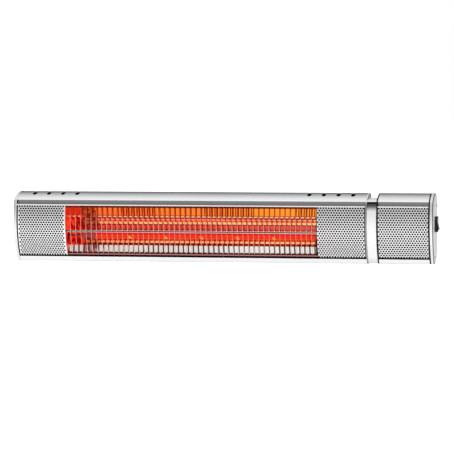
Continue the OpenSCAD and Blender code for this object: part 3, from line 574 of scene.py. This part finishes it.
switch_centre, half_wide, half_tall = np.array([-96.0, 8.0]), 11.5, 14.5
loops = plate(cap_x, cap_face, cap_rim)
spoke = loops[-1][:, 1:] - switch_centre
reach = 1.0 / np.maximum(np.abs(spoke[:, 0]) / half_wide, np.abs(spoke[:, 1]) / half_tall)
opening = switch_centre + spoke * reach[:, None]
right_cap = piece("right_end_cap_smooth",
                  [bridged(loops + [at_x(opening, cap_face), at_x(opening, cap_x),
                                    at_x(section(0.0), cap_x)])], cast)
# Painted shade: the cap's inner face is near-black.
inlaid(right_cap, painted_shade, lambda x, y, z: x < cap_x + 0.01)

loops = plate(292.0, 295.0, 0.5, both_sides=True)
end_plate = piece("housing_end_plate_smooth", [bridged(loops)], cast, [loops[0], loops[-1]])
# Painted shade: the plate's lower part is darker and its inner face near-black.
inlaid(end_plate, lower_plate_shade, lambda x, y, z: z < 50.0)
inlaid(end_plate, painted_shade, lambda x, y, z: (x < 292.01) & inner_face(y, z))
for made, cad in ((left_cap, "left_end_cap"), (right_cap, "right_end_cap"),
                  (end_plate, "housing_end_plate")):
    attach(made, "heater")
    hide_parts(cad)


# ---- Neck and gaskets ----------------------------------------------------------------
# A slim bright ring between the housing and the control box, with a deep slit under its
# lip and a slope from the slit down to the bow, and two thin black rubber gaskets.
neck_skin, tree, _, place = finish_of("neck_silver", (0.93, 0.93, 0.94), 0.38, 0.5,
                                      tone=0.03, relief=0.04)
# Painted shade: the ring darkens to black over the upper slope and in the slit under its
# lip, and a little towards the bottom; above the slit it is light again.
graded(tree, axes(tree, place)[2], -0.072, 0.054, [
    (0.0, 0.72), (0.12, 1.0), (0.6, 1.0), (0.845, 0.97), (0.875, 0.68), (0.905, 0.28),
    (0.935, 0.07), (0.99, 0.05), (0.995, 0.95)])
neck_crown = (-208.5, 270.0)
slit = (41.0, 53.0, [[-141.0, 49.5], [-134.0, 49.5], [-134.0, 53.0]])
hollow = (38.0, 56.0, [[-131.0, 38.0], [-131.0, 47.0], [-131.0, 56.0]])
outside, inside = [[at_x(section(inset, neck_crown, groove), x) for x in (295.0, 314.0)]
                   for inset, groove in ((1.6, slit), (4.6, hollow))]
neck = piece("neck_ring_smooth", [bridged(outside + inside[::-1] + outside[:1])], neck_skin)
# Painted shade: the ring's inner faces are near-black.
inlaid(neck, painted_shade, lambda x, y, z: (inner_face(y, z, 3.1, neck_crown)
                                     & ((z < 40.0) | (y > slit[2][0][0] + 0.1))))
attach(neck, "heater")
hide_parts("neck_ring")

rubber = finish_of("black_rubber", (0.012, 0.012, 0.013), 0.6, 0.0, tone=0.3, relief=0.15,
                   Specular_IOR_Level=0.1)[0]
lip, chamfer = 0.8, 0.4
for cad, x0, x1, wall in (("neck_gasket", 314.0, 317.0, 9.0),
                          ("cap_gasket", 418.0, 421.0, 9.5)):
    ring = [at_x(section(inset), x) for x, inset in
            ((x0, wall), (x0, lip + chamfer), (x0 + chamfer, lip), (x1 - chamfer, lip),
             (x1, lip + chamfer), (x1, wall), (x0, wall))]
    gasket = piece(cad + "_smooth", [bridged(ring)], rubber)
    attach(gasket, "heater")
    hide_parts(cad)


# ---- Perforated panels ---------------------------------------------------------------
# Bright steel sheets rolled to the housing's bow, with staggered round holes and a lower
# edge turned in to stand on the housing's flange.
perforated = finish_of("perforated_steel", (0.97, 0.97, 0.98), 0.30, 0.85, relief=0.06,
                       grain=700.0)[0]


def perforated_panel(cad, x0, x1, corner=0.0, shade=(0.0, 0.0)):
    """The sheet as brick tiles of (x, angle) round the bow's centre line, each a ring from
    the tile's border to its hole: y = front_y - r cos a, z = front_z + r sin a. A corner
    radius rounds the lower corner at x0. Shade is the width of the dark rim at each end."""
    pitch, hole, bevel, dip, radius, sheet, low = 5.35, 1.6, 0.4, 0.22, 128.5, 1.0, -59.1
    margin, fold, turned_in, drop = 1.2, 0.3, 7.8, 2.4  # the plain rims and the foot
    row = math.sqrt(3.0) / 2.0
    step = math.degrees(pitch * row / radius)
    top, bottom = [math.degrees(math.asin((z - front_z) / radius)) for z in (rim_z, low)]
    rows = 1 + int((top - bottom - 0.75 * step) // step)
    first = (top + bottom) / 2.0 + (rows - 1) / 2.0 * step
    columns = int((x1 - x0 - 0.6 - 2 * hole) // pitch)
    start = (x0 + x1 - columns * pitch) / 2.0
    begin = start - pitch / 2.0
    skins = (radius, radius - sheet)
    parts = []

    def on_sheet(x, a, r):
        x, a = np.clip(x, x0, x1), np.radians(np.clip(a, bottom, top))
        return np.stack([x, front_y - r * np.cos(a), front_z + r * np.sin(a)], -1)

    def strip(xs, angles):
        gx, ga = np.meshgrid(xs, angles, indexing="ij")
        parts.extend(bridged(on_sheet(gx, ga, r), False) for r in skins)

    side = np.linspace(-0.5, 0.5, 7)
    border = np.array([(-0.5, v) for v in side] + [(u, 0.5) for u in side[1:-1]]
                      + [(0.5, v) for v in side[::-1]] + [(u, -0.5) for u in side[-2:0:-1]])
    turn = np.arctan2(border[:, 1] * row, border[:, 0])
    border *= (pitch, step)
    rim = np.column_stack([hole * np.cos(turn), math.degrees(hole / radius) * np.sin(turn)])
    bevelled = rim * (hole + bevel) / hole
    shape, quads = bridged([np.column_stack([o, o[:, 0] * 0]) for o in
                            (border, bevelled, rim, rim, border)])
    layer = np.repeat([radius, radius, radius - dip, radius - sheet, radius - sheet],
                      len(border))
    for k in range(rows):
        a = first - k * step
        odd = k % 2
        centres = start + odd * pitch / 2.0 + pitch * np.arange(columns + 1 - odd)
        x = centres[:, None] + shape[None, :, 0]
        points = on_sheet(x, a + np.broadcast_to(shape[:, 1], x.shape), layer)
        shift = np.arange(len(centres))[:, None, None] * len(shape)
        parts.append((points.reshape(-1, 3), (quads[None] + shift).reshape(-1, 4)))
        ends = np.array([x0, x0 + margin]
                        + (list(begin + side[:4] * pitch + pitch / 2.0) if odd else [begin]))
        strip(ends, a + side * step)
        strip((x0 + x1 - ends)[::-1], a + side * step)
    xs = np.concatenate([[x0, x0 + margin],
                         begin + pitch / 6.0 * np.arange((columns + 1) * 6 + 1),
                         [x1 - margin, x1]])
    last = first - (rows - 1) * step - step / 2.0
    strip(xs, [first + step / 2.0, top])
    strip(xs, [bottom, bottom + fold, last])
    angles = np.concatenate([[bottom, bottom + fold],
                             last + step / 6.0 * np.arange(rows * 6 + 1), [top]])
    for x in (x0, x1):
        parts.append(bridged([on_sheet(np.full(len(angles), x), angles, r) for r in skins],
                             False))
    edge_y = on_sheet(0.0, np.array(bottom), radius)[1]
    inner_y, inner_z = on_sheet(0.0, np.array(bottom), radius - sheet)[1:]
    inward = edge_y + turned_in
    foot = softened([[edge_y, low], [inward, low], [inward, low - drop],
                     [inward + sheet, low - drop], [inward + sheet, low + sheet],
                     [inner_y + sheet, low + sheet], [inner_y, inner_z]], 0.4)
    parts.append(swept(foot, xs))
    parts.append(bridged([on_sheet(xs, np.full(len(xs), top), r) for r in skins], False))
    rims = [at_x(foot, x) for x in (x0, x1)]
    if corner:
        for points, _ in parts:
            height = np.clip(points[:, 2] - low, 0.0, corner)
            least = x0 + corner - np.sqrt(corner ** 2 - (corner - height) ** 2)
            points[:, 0] = np.maximum(points[:, 0], least)
        rims[0][:, 0] += corner
    made = piece(cad + "_sheet", parts, perforated, rims)
    # Painted shade: the foot, a rim at each end, the dipped bevel round every hole and the
    # sheet's back are near-black.
    inlaid(made, painted_shade, lambda x, y, z: (
        (z < low + 0.5) | (x < x0 + shade[0]) | (x > x1 - shade[1])
        | ((np.hypot(y - front_y, z - front_z) < radius - 0.08) & (z < rim_z - 0.01))))
    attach(made, "heater")
    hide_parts(cad)


perforated_panel("left_panel", -419.8, -320.0, shade=(1.3, 0.0))
perforated_panel("right_panel", 195.0, 290.8, corner=6.0, shade=(0.0, 0.5))
perforated_panel("control_panel", 317.3, 417.7)


# ---- Wire guard ----------------------------------------------------------------------
# Bowed chrome wires spot-welded to three cross rods; a small nugget of weld metal sits at
# every crossing.
chrome, tree, _, place = finish_of("guard_steel", (0.90, 0.89, 0.88), 0.16, 1.0,
                                   tone=0.04, relief=0.03)
bow_foot, bow_top = -62.0, 52.0  # the heights in mm between which the glow is graded
red_lit, orange_lit, cream_lit = (0.95, 0.25, 0.18), (0.85, 0.22, 0.08), (0.76, 0.72, 0.68)
bottom_rod_glint, rod_shade = (0.55, 0.30, 0.29), (0.10, 0.03, 0.03)
mid_rod_under_glint, mid_rod_top_glint = (1.0, 0.78, 0.76), (1.0, 0.74, 0.70)
# Painted light on the chrome, by height: the red, orange and cream glow of the lamp and
# trough, painted highlights and painted shade across the rods, and painted shade under the
# rim and at the foot.
graded(tree, axes(tree, place)[2], bow_foot * 0.001, bow_top * 0.001, [
    ((z - bow_foot) / (bow_top - bow_foot), colour) for z, colour in (
        (-61.0, (0.22, 0.08, 0.07)), (-57.9, (0.22, 0.08, 0.07)),
        (-57.4, bottom_rod_glint), (-55.7, bottom_rod_glint), (-55.2, rod_shade), (-53.6, rod_shade),
        (-53.0, cream_lit), (-40.0, cream_lit), (-38.8, red_lit), (-14.4, red_lit),
        (-14.0, (0.40, 0.05, 0.04)), (-12.6, (0.40, 0.05, 0.04)),
        (-12.0, mid_rod_under_glint), (-10.7, mid_rod_under_glint), (-10.4, rod_shade), (-8.5, rod_shade),
        (-8.2, mid_rod_top_glint), (-6.2, mid_rod_top_glint), (-5.8, red_lit),
        (18.4, (0.95, 0.36, 0.28)), (20.4, orange_lit), (37.9, orange_lit),
        (38.7, (0.14, 0.02, 0.015)), (51.0, (0.08, 0.012, 0.01)))])


def tube(path, normals, radii, sides):
    """A round tube: P(i, j) = path_i + r_i (cos v_j n_i + sin v_j b_i), b = t x n."""
    path, normals = np.asarray(path, float), np.broadcast_to(normals, np.shape(path))
    along = np.gradient(path, axis=0)
    binormals = np.cross(along, normals)
    binormals /= np.linalg.norm(binormals, axis=1)[:, None]
    v = np.linspace(0.0, 2.0 * math.pi, sides, endpoint=False)[:, None]
    return bridged(path[:, None] + np.reshape(radii, (-1, 1, 1))
                   * (np.cos(v) * normals[:, None] + np.sin(v) * binormals[:, None]))


def repeated(part, offsets):
    """The part once at every offset."""
    points, quads = part
    offsets = np.asarray(offsets, float)
    shift = np.arange(len(offsets))[:, None, None] * len(points)
    return ((points + offsets[:, None]).reshape(-1, 3), (quads + shift).reshape(-1, 4))


def rounded_ends(length, radius):
    """Stations along a rod of that length and its radius there. Each end is a dome:
    r (1 - cos t) along, r sin t out."""
    t = np.radians(np.linspace(0.0, 90.0, 5))
    dome = radius * (1.0 - np.cos(t))
    girth = radius * np.sin(t)
    girth[0] = 0.0
    return (np.concatenate([dome, length - dome[::-1]]),
            np.concatenate([girth, girth[::-1]]))


wire_r, rod_length, rod_x = 0.75, 547.0, -336.0
wires_r = 127.25  # radius of the wires' bow; the rods lie against its inside
a0, a1 = [math.asin((z - front_z) / wires_r) for z in (41.7, -60.7)]
s, girth = rounded_ends(wires_r * (a0 - a1), wire_r)
s = np.concatenate([s[:5], np.linspace(s[4], s[5], 40)[1:-1], s[5:]])
girth = np.concatenate([girth[:5], np.full(38, wire_r), girth[5:]])
a = a0 - s / wires_r
path = np.column_stack([a * 0, front_y - wires_r * np.cos(a),
                        front_z + wires_r * np.sin(a)])
window_x, window_w, gaps = -320.0, 515.0, 48
wire_x = window_x + window_w / gaps * np.arange(1, gaps)
offsets = np.column_stack([wire_x, wire_x * 0, wire_x * 0])
guard = piece("guard_wires_round", [repeated(tube(path, (1.0, 0.0, 0.0), girth, 14),
                                             offsets)], chrome, sharp=60.0)
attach(guard, "heater")
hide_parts("guard_wires")

rods, nuggets = [], []
rods_r, weld_r, weld_flat = wires_r - 0.85, 1.1, 0.4
for z, diameter in ((39.5, 3.0), (-9.5, 5.0), (-56.3, 3.0)):
    r = rods_r - diameter / 2.0
    y = front_y - math.sqrt(r * r - (z - front_z) ** 2)
    s, girth = rounded_ends(rod_length, diameter / 2.0)
    rods.append(tube(np.column_stack([rod_x + s, s * 0 + y, s * 0 + z]), (0.0, 1.0, 0.0),
                     girth, 28))
    touch = front_y - math.sqrt((rods_r + 0.05) ** 2 - (z - front_z) ** 2)
    s, girth = rounded_ends(2.0 * weld_r, weld_r)
    ball = tube(np.column_stack([s * 0, s - weld_r, s * 0]), (1.0, 0.0, 0.0), girth, 12)
    ball = (ball[0] * (1.0, weld_flat, 1.0) + (0.0, touch, z), ball[1])
    nuggets.append(repeated(ball, offsets))
cross_rods = piece("guard_rods_round", rods, chrome, sharp=60.0)
welds = piece("guard_welds", nuggets, chrome, sharp=80.0)
for made in (cross_rods, welds):
    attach(made, "heater")
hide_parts("guard_rods")


# ---- Reflector -----------------------------------------------------------------------
# The folded trough of mirror-bright aluminium round the lamp. Its glow is painted: every
# flat carries painted reflections of the red lamp or the bowed wires in a band of its own,
# from orange at the top to cream at the foot. The painted reflections of the wires: a saw
# wave along X, leant by depth and height and made to drift by a slow noise, is over a share
# of its way between two heights.
stripes, given, result = shader_group("mirrored_wires", [
    ("Vector", "Vector", (0.0, 0.0, 0.0)), ("Pitch", "Float", 0.01),
    ("Slant", "Float", 0.0), ("Share", "Float", 0.5), ("Waver", "Float", 0.0),
    ("Top", "Float", 1.0), ("Bottom", "Float", -1.0)], [("Mask", "Float")])
lean = 0.185  # how far the mirrored wires shift along X for each step in Y
along, depth, height = axes(stripes, given["Vector"])
wave = noise(stripes, given["Vector"], 9.0, 1.0)
leant = calc(stripes, "ADD", along, calc(stripes, "MULTIPLY", depth, lean))
shifted = calc(stripes, "ADD", leant, calc(stripes, "MULTIPLY", height, given["Slant"]))
turns = calc(stripes, "ADD", calc(stripes, "DIVIDE", shifted, given["Pitch"]),
             calc(stripes, "MULTIPLY", wave, given["Waver"]))
saw = calc(stripes, "ABSOLUTE", calc(stripes, "SUBTRACT",
                                     calc(stripes, "FRACT", turns), 0.5))
soft = 0.08  # how softly a stripe's edge fades, as a share of half the pitch
bar = portion(stripes, calc(stripes, "MULTIPLY", saw, 2.0),
              calc(stripes, "SUBTRACT", given["Share"], soft),
              calc(stripes, "ADD", given["Share"], soft))
inside = calc(stripes, "MULTIPLY", calc(stripes, "LESS_THAN", height, given["Top"]),
              calc(stripes, "GREATER_THAN", height, given["Bottom"]))
link(stripes, result["Mask"], calc(stripes, "MULTIPLY", bar, inside))

trough, tree, shader, place = new_material("glowing_trough", {
    "Metallic": 1.0, "Base Color": (0.035, 0.008, 0.005, 1.0)})
bands = [  # lower edge in mm, colour between the stripes, colour of the stripes
    (-62.0, (0.02, 0.001, 0.001), (0.02, 0.001, 0.001)),
    (-56.6, (0.012, 0.001, 0.001), (0.05, 0.01, 0.008)),
    (-53.4, (0.22, 0.06, 0.05), (0.12, 0.02, 0.015)),
    (-52.2, (0.71, 0.66, 0.565), (0.05, 0.04, 0.03)),
    (-39.4, (0.22, 0.003, 0.001), (0.12, 0.001, 0.001)),
    (-34.7, (0.98, 0.44, 0.17), (0.50, 0.03, 0.003)),
    (-30.8, (0.62, 0.035, 0.008), (0.30, 0.006, 0.002)),
    (-26.5, (0.55, 0.01, 0.004), (0.26, 0.003, 0.002)),
    (-7.2, (0.34, 0.09, 0.06), (0.20, 0.03, 0.02)),
    (-4.6, (0.72, 0.07, 0.05), (0.44, 0.02, 0.014)),
    (1.7, (0.22, 0.003, 0.002), (0.11, 0.001, 0.001)),
    (3.9, (0.98, 0.48, 0.21), (0.50, 0.05, 0.01)),
    (8.5, (0.80, 0.10, 0.012), (0.46, 0.02, 0.003)),
    (12.2, (1.0, 0.34, 0.15), (0.72, 0.08, 0.035)),
    (14.5, (0.40, 0.035, 0.015), (0.26, 0.01, 0.004)),
    (18.1, (1.0, 0.50, 0.38), (0.46, 0.06, 0.03)),
    (20.2, (0.60, 0.06, 0.015), (0.26, 0.005, 0.001)),
    (22.3, (1.0, 0.16, 0.028), (0.25, 0.002, 0.001)),
    (38.8, (0.15, 0.006, 0.003), (0.08, 0.002, 0.001)),
]
along, depth, height = axes(tree, place)
level = portion(tree, height, bow_foot * 0.001, bow_top * 0.001)
cream_top, orange_foot, tube_left = -0.0394, 0.0202, -0.291  # in m, as the heights are


def banded(which):
    """The bands' colours up the trough's height."""
    return ramp(tree, level, [((band[0] - bow_foot) / (bow_top - bow_foot), band[which])
                              for band in bands], "CONSTANT")


def mirrored(top, bottom, pitch, slant, share, waver):
    """The mask of the wires mirrored between two heights, one each pitch, all in mm. The
    share is how much of the pitch lies between them, and waver makes them drift."""
    made = node(tree, "Group", {"Vector": place}, node_tree=stripes)
    for label, value in (("Pitch", pitch * 0.001), ("Slant", slant), ("Share", share),
                         ("Waver", waver), ("Top", top * 0.001),
                         ("Bottom", bottom * 0.001)):
        made.inputs[label].default_value = value
    return made.outputs["Mask"]


# In the orange band each wire is mirrored twice along some stretches of the window.
golden = portion(tree, along, -0.32, 0.2)
twice = ramp(tree, golden, [(0.0, 0.0), (0.205, 0.0), (0.215, 1.0), (0.345, 1.0),
                            (0.355, 0.0), (0.535, 0.0), (0.545, 1.0), (0.73, 1.0),
                            (0.74, 0.0), (0.895, 0.0), (0.905, 1.0)])
mask = calc(tree, "MULTIPLY", mirrored(38.9, 20.2, 5.36, 0.0, 0.58, 0.35), twice)
for values in ((38.9, 20.2, 10.72, 0.0, 0.78, 0.35), (20.2, 18.1, 10.73, 0.0, 0.55, 0.6),
               (18.1, 8.5, 10.4, 0.3, 0.6, 0.3), (8.5, 3.9, 10.2, 0.2, 0.72, 0.4),
               (3.9, 1.7, 10.73, 0.1, 0.6, 0.2), (1.7, -26.5, 10.6, 0.15, 0.7, 0.2),
               (-26.5, -39.4, 10.3, -0.2, 0.72, 0.4),
               (-39.4, -53.0, 10.35, 0.05, 0.70, 0.4)):
    mask = calc(tree, "MAXIMUM", mask, mirrored(*values))
glow = blend(tree, mask, banded(1), banded(2))
# The glow turns from red to amber and, in the cream band, to white towards the right.
amber = blend(tree, calc(tree, "GREATER_THAN", height, orange_foot),
              (1.0, 1.25, 1.3, 1.0), (1.0, 2.2, 1.0, 1.0))
tint = blend(tree, golden, (1.0, 0.85, 0.9, 1.0), amber)
white = calc(tree, "MULTIPLY", calc(tree, "LESS_THAN", height, cream_top), golden)
tint = blend(tree, white, tint, (1.2, 1.25, 1.4, 1.0))
tinted = node(tree, "Mix", data_type="RGBA", blend_type="MULTIPLY")
tinted.inputs[0].default_value = 1.0
link(tree, tinted.inputs[6], glow)
link(tree, tinted.inputs[7], tint)
# Left of the lamp the trough's painted glow comes only in patches, and the lamp's base shows
# on it as a dark column of painted reflection.
tall = node(tree, "VectorMath", {0: place, 1: (1.0, 1.0, 0.45)}, operation="MULTIPLY")
blotch = noise(tree, tall.outputs[0], 130.0, 1.0)
patchy = ramp(tree, blotch, [(0.4, (0.22, 0.001, 0.001)), (0.5, (0.60, 0.006, 0.002)),
                             (0.64, (0.90, 0.05, 0.01))])
beyond = calc(tree, "LESS_THAN", along, tube_left)
left = calc(tree, "MULTIPLY", beyond,
            calc(tree, "MULTIPLY", calc(tree, "LESS_THAN", height, 0.0175),
                 calc(tree, "GREATER_THAN", height, cream_top)))
smooth = calc(tree, "MULTIPLY", beyond, calc(tree, "GREATER_THAN", height, 0.0212))
lit = blend(tree, smooth, blend(tree, left, tinted.outputs[2], patchy),
            (0.66, 0.02, 0.005, 1.0))
base_x, glow_end = -0.2765, 0.168  # middle of the left lamp base, right end of the glow
from_base = calc(tree, "ABSOLUTE", calc(tree, "SUBTRACT", along, base_x))
column = portion(tree, from_base, 0.0165, 0.013)
murk = portion(tree, blotch, 0.38, 0.62, 0.95, 0.55)
lit = blend(tree, calc(tree, "MULTIPLY", column, murk), lit, (0.16, 0.002, 0.001, 1.0))
link(tree, shader.inputs["Emission Color"], lit)
leant = calc(tree, "ADD", along, calc(tree, "MULTIPLY", depth, lean))
link(tree, shader.inputs["Emission Strength"], calc(tree, "LESS_THAN", leant, glow_end))
link(tree, shader.inputs["Roughness"],
     portion(tree, noise(tree, place, 300.0), 0.0, 1.0, 0.08, 0.2))


def dress(names, material):
    """Gives CAD nodes their material."""
    for name in names:
        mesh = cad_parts[name].data
        mesh.materials.clear()
        mesh.materials.append(material)


dress(["reflector"], trough)
# Painted glow: the reflector's end plates are reddish, and the left one carries red patches
# of the lamp's glow as emission.
ends, tree, shader, place = finish_of("reflector_ends", (0.40, 0.14, 0.10), 0.3, 1.0,
                                      tone=0.2, grain=200.0)
along = axes(tree, place)[0]
link(tree, shader.inputs["Emission Color"],
     ramp(tree, noise(tree, place, 45.0), [(0.38, (0.14, 0.002, 0.001)),
                                           (0.5, (0.45, 0.008, 0.003)),
                                           (0.64, (0.75, 0.05, 0.01))]))
link(tree, shader.inputs["Emission Strength"],
     calc(tree, "MULTIPLY", calc(tree, "GREATER_THAN", along, -0.3213),
          calc(tree, "LESS_THAN", along, 0.0)))
dress(["left_reflector_end", "right_reflector_end"], ends)


# ---- Lamp ----------------------------------------------------------------------------
# A ruby quartz tube with a coiled filament held off the glass by thin discs, which show as
# small yellow flames; a ceramic base at each end sits in a spring clip.
tube_x0, tube_x1, tube_r, lamp_y, lamp_z = -270.0, 219.0, 6.5, -110.0, -19.0
lit_x, flames_x = 0.188, 0.13  # right-hand ends of the lit part and of the flames, in m
disc_gap, disc_shift = 0.074, 0.261  # gap between discs in m, and where the first stands
ruby, tree, shader, place = new_material("red_quartz", {
    "Base Color": (0.25, 0.004, 0.002, 1.0), "Roughness": 0.06, "Alpha": 0.8,
    "Specular IOR Level": 0.12})
along, _, height = axes(tree, place)
phase = calc(tree, "DIVIDE", calc(tree, "ADD", along, calc(tree, "MULTIPLY", height, 0.5)),
             disc_gap)
saw = calc(tree, "SUBTRACT", calc(tree, "FRACT", calc(tree, "ADD", phase, disc_shift)),
           0.5)
off_disc = calc(tree, "MULTIPLY", calc(tree, "ABSOLUTE", saw), disc_gap)
flame = portion(tree, off_disc, 0.0034, 0.001)
low = portion(tree, height, -0.0190, -0.0215)
flicker = noise(tree, place, 60.0)
level = portion(tree, height, (lamp_z - tube_r) * 0.001, (lamp_z + tube_r) * 0.001)
calm = ramp(tree, level, [(0.0, (0.90, 0.12, 0.03)), (0.22, (0.72, 0.012, 0.004)),
                          (0.55, (0.58, 0.005, 0.002)), (0.85, (0.85, 0.02, 0.008)),
                          (1.0, (0.30, 0.003, 0.002))])
bright = ramp(tree, level, [(0.0, (0.90, 0.10, 0.02)), (0.5, (0.92, 0.015, 0.005)),
                            (1.0, (0.7, 0.012, 0.005))])
spot = calc(tree, "MULTIPLY", calc(tree, "MULTIPLY", flame, low),
            calc(tree, "LESS_THAN", along, flames_x))
link(tree, shader.inputs["Emission Color"],
     blend(tree, spot, blend(tree, flicker, calm, bright), (1.0, 0.6, 0.12, 1.0)))
link(tree, shader.inputs["Emission Strength"],
     calc(tree, "MULTIPLY", calc(tree, "LESS_THAN", along, lit_x), 0.78))
s, girth = rounded_ends(tube_x1 - tube_x0, tube_r)
glass = piece("quartz_tube_smooth", [tube(
    np.column_stack([tube_x0 + s, s * 0 + lamp_y, s * 0 + lamp_z]), (0.0, 1.0, 0.0), girth,
    48)], ruby, sharp=60.0)
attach(glass, "heater")
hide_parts("quartz_tube")

incandescent, tree, shader, place = new_material("glowing_filament", {})
link(tree, shader.inputs["Emission Color"],
     ramp(tree, noise(tree, place, 80.0), [(0.3, (1.0, 0.07, 0.01)),
                                           (0.7, (1.0, 0.2, 0.03))]))
link(tree, shader.inputs["Emission Strength"],
     calc(tree, "MULTIPLY", calc(tree, "LESS_THAN", axes(tree, place)[0], lit_x), 1.6))
coils, coil_r, strand_r, coil_inset = 300, 1.05, 0.22, 4.0
turns = np.linspace(0.0, 2.0 * math.pi * coils, coils * 10)
coil_length = tube_x1 - tube_x0 - 2.0 * coil_inset
coil_path = np.column_stack([tube_x0 + coil_inset + turns / turns[-1] * coil_length,
                             lamp_y + coil_r * np.cos(turns),
                             lamp_z + coil_r * np.sin(turns)])
outward = np.column_stack([turns * 0, np.cos(turns), np.sin(turns)])
thickness = np.full(len(turns), strand_r)
thickness[[0, -1]] = 0.0
coil = piece("heating_filament_coil", [tube(coil_path, outward, thickness, 6)],
             incandescent, sharp=80.0)
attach(coil, "heater")
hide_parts("heating_filament")

dress(["filament_supports"],
      finish_of("filament_discs", (0.9, 0.5, 0.2), 0.4, 0.3, Emission_Strength=0.4,
                Emission_Color=(0.8, 0.02, 0.005, 1.0))[0])

ceramic, tree, shader, place = finish_of("lamp_ceramic", (0.20, 0.05, 0.035), 0.55, 0.0,
                                         tone=0.4, relief=0.2, grain=300.0,
                                         Emission_Color=(0.36, 0.004, 0.002, 1.0))
# Painted glow: the left lamp base glows a dull red.
link(tree, shader.inputs["Emission Strength"],
     calc(tree, "MULTIPLY", calc(tree, "LESS_THAN", axes(tree, place)[0], 0.0), 0.5))
dress(["left_lamp_base", "right_lamp_base"], ceramic)
dress(["left_lamp_holder", "right_lamp_holder"],
      finish_of("spring_steel", (0.20, 0.08, 0.06), 0.3, 1.0, tone=0.3)[0])


# ---- Rocker switch -------------------------------------------------------------------
# A black moulded frame snapped into the right end cap, and the rocker button in it. The
# button is the glossier of the two.
dress(["switch_frame"],
      finish_of("switch_plastic", (0.014, 0.014, 0.015), 0.42, 0.0, tone=0.2, relief=0.12,
                grain=1200.0, Specular_IOR_Level=0.15)[0])
dress(["rocker_button"],
      finish_of("rocker_plastic", (0.012, 0.012, 0.013), 0.28, 0.0, tone=0.2, grain=1500.0,
                Specular_IOR_Level=0.2)[0])


# ---- Screws of the caps --------------------------------------------------------------
# Small zinc-plated screws with domed heads: they hold both end caps and the housing's end
# plate on the ports of the extrusions.
plated = finish_of("zinc_steel", (0.62, 0.62, 0.60), 0.3, 1.0, tone=0.15)[0]
dress(["cap_screws"], plated)


# ---- Inside the housing --------------------------------------------------------------
# Terminal block and bimetal cut-out of dark moulded plastic, and the silicone-sleeved leads
# of the lamp and of the switch.
dress(["terminal_block", "thermal_cutout"],
      finish_of("cutout_plastic", (0.05, 0.045, 0.04), 0.45, 0.0, tone=0.2)[0])
dress(["lamp_leads"],
      finish_of("lead_silicone", (0.03, 0.012, 0.01), 0.5, 0.0, tone=0.25)[0])
dress(["switch_leads"],
      finish_of("switch_lead_silicone", (0.01, 0.013, 0.03), 0.5, 0.0, tone=0.25)[0])


# ---- Cable inlet ---------------------------------------------------------------------
# A gland of black nylon screwed through the back of the control box, and its lock nut
# inside.
dress(["cable_gland", "gland_nut"],
      finish_of("gland_plastic", (0.02, 0.02, 0.02), 0.5, 0.0, tone=0.25, relief=0.1)[0])


# ---- Wall bracket --------------------------------------------------------------------
# Bent steel plate and lugs, powder-coated grey, with zinc-plated bolts, washers, nuts and
# screws.
dress(["wall_plate", "back_brackets"],
      finish_of("bracket_steel", (0.42, 0.43, 0.44), 0.45, 0.6, tone=0.08, relief=0.25,
                grain=900.0)[0])
dress(["pivot_bolts", "pivot_washers", "pivot_nuts", "bracket_screws"], plated)
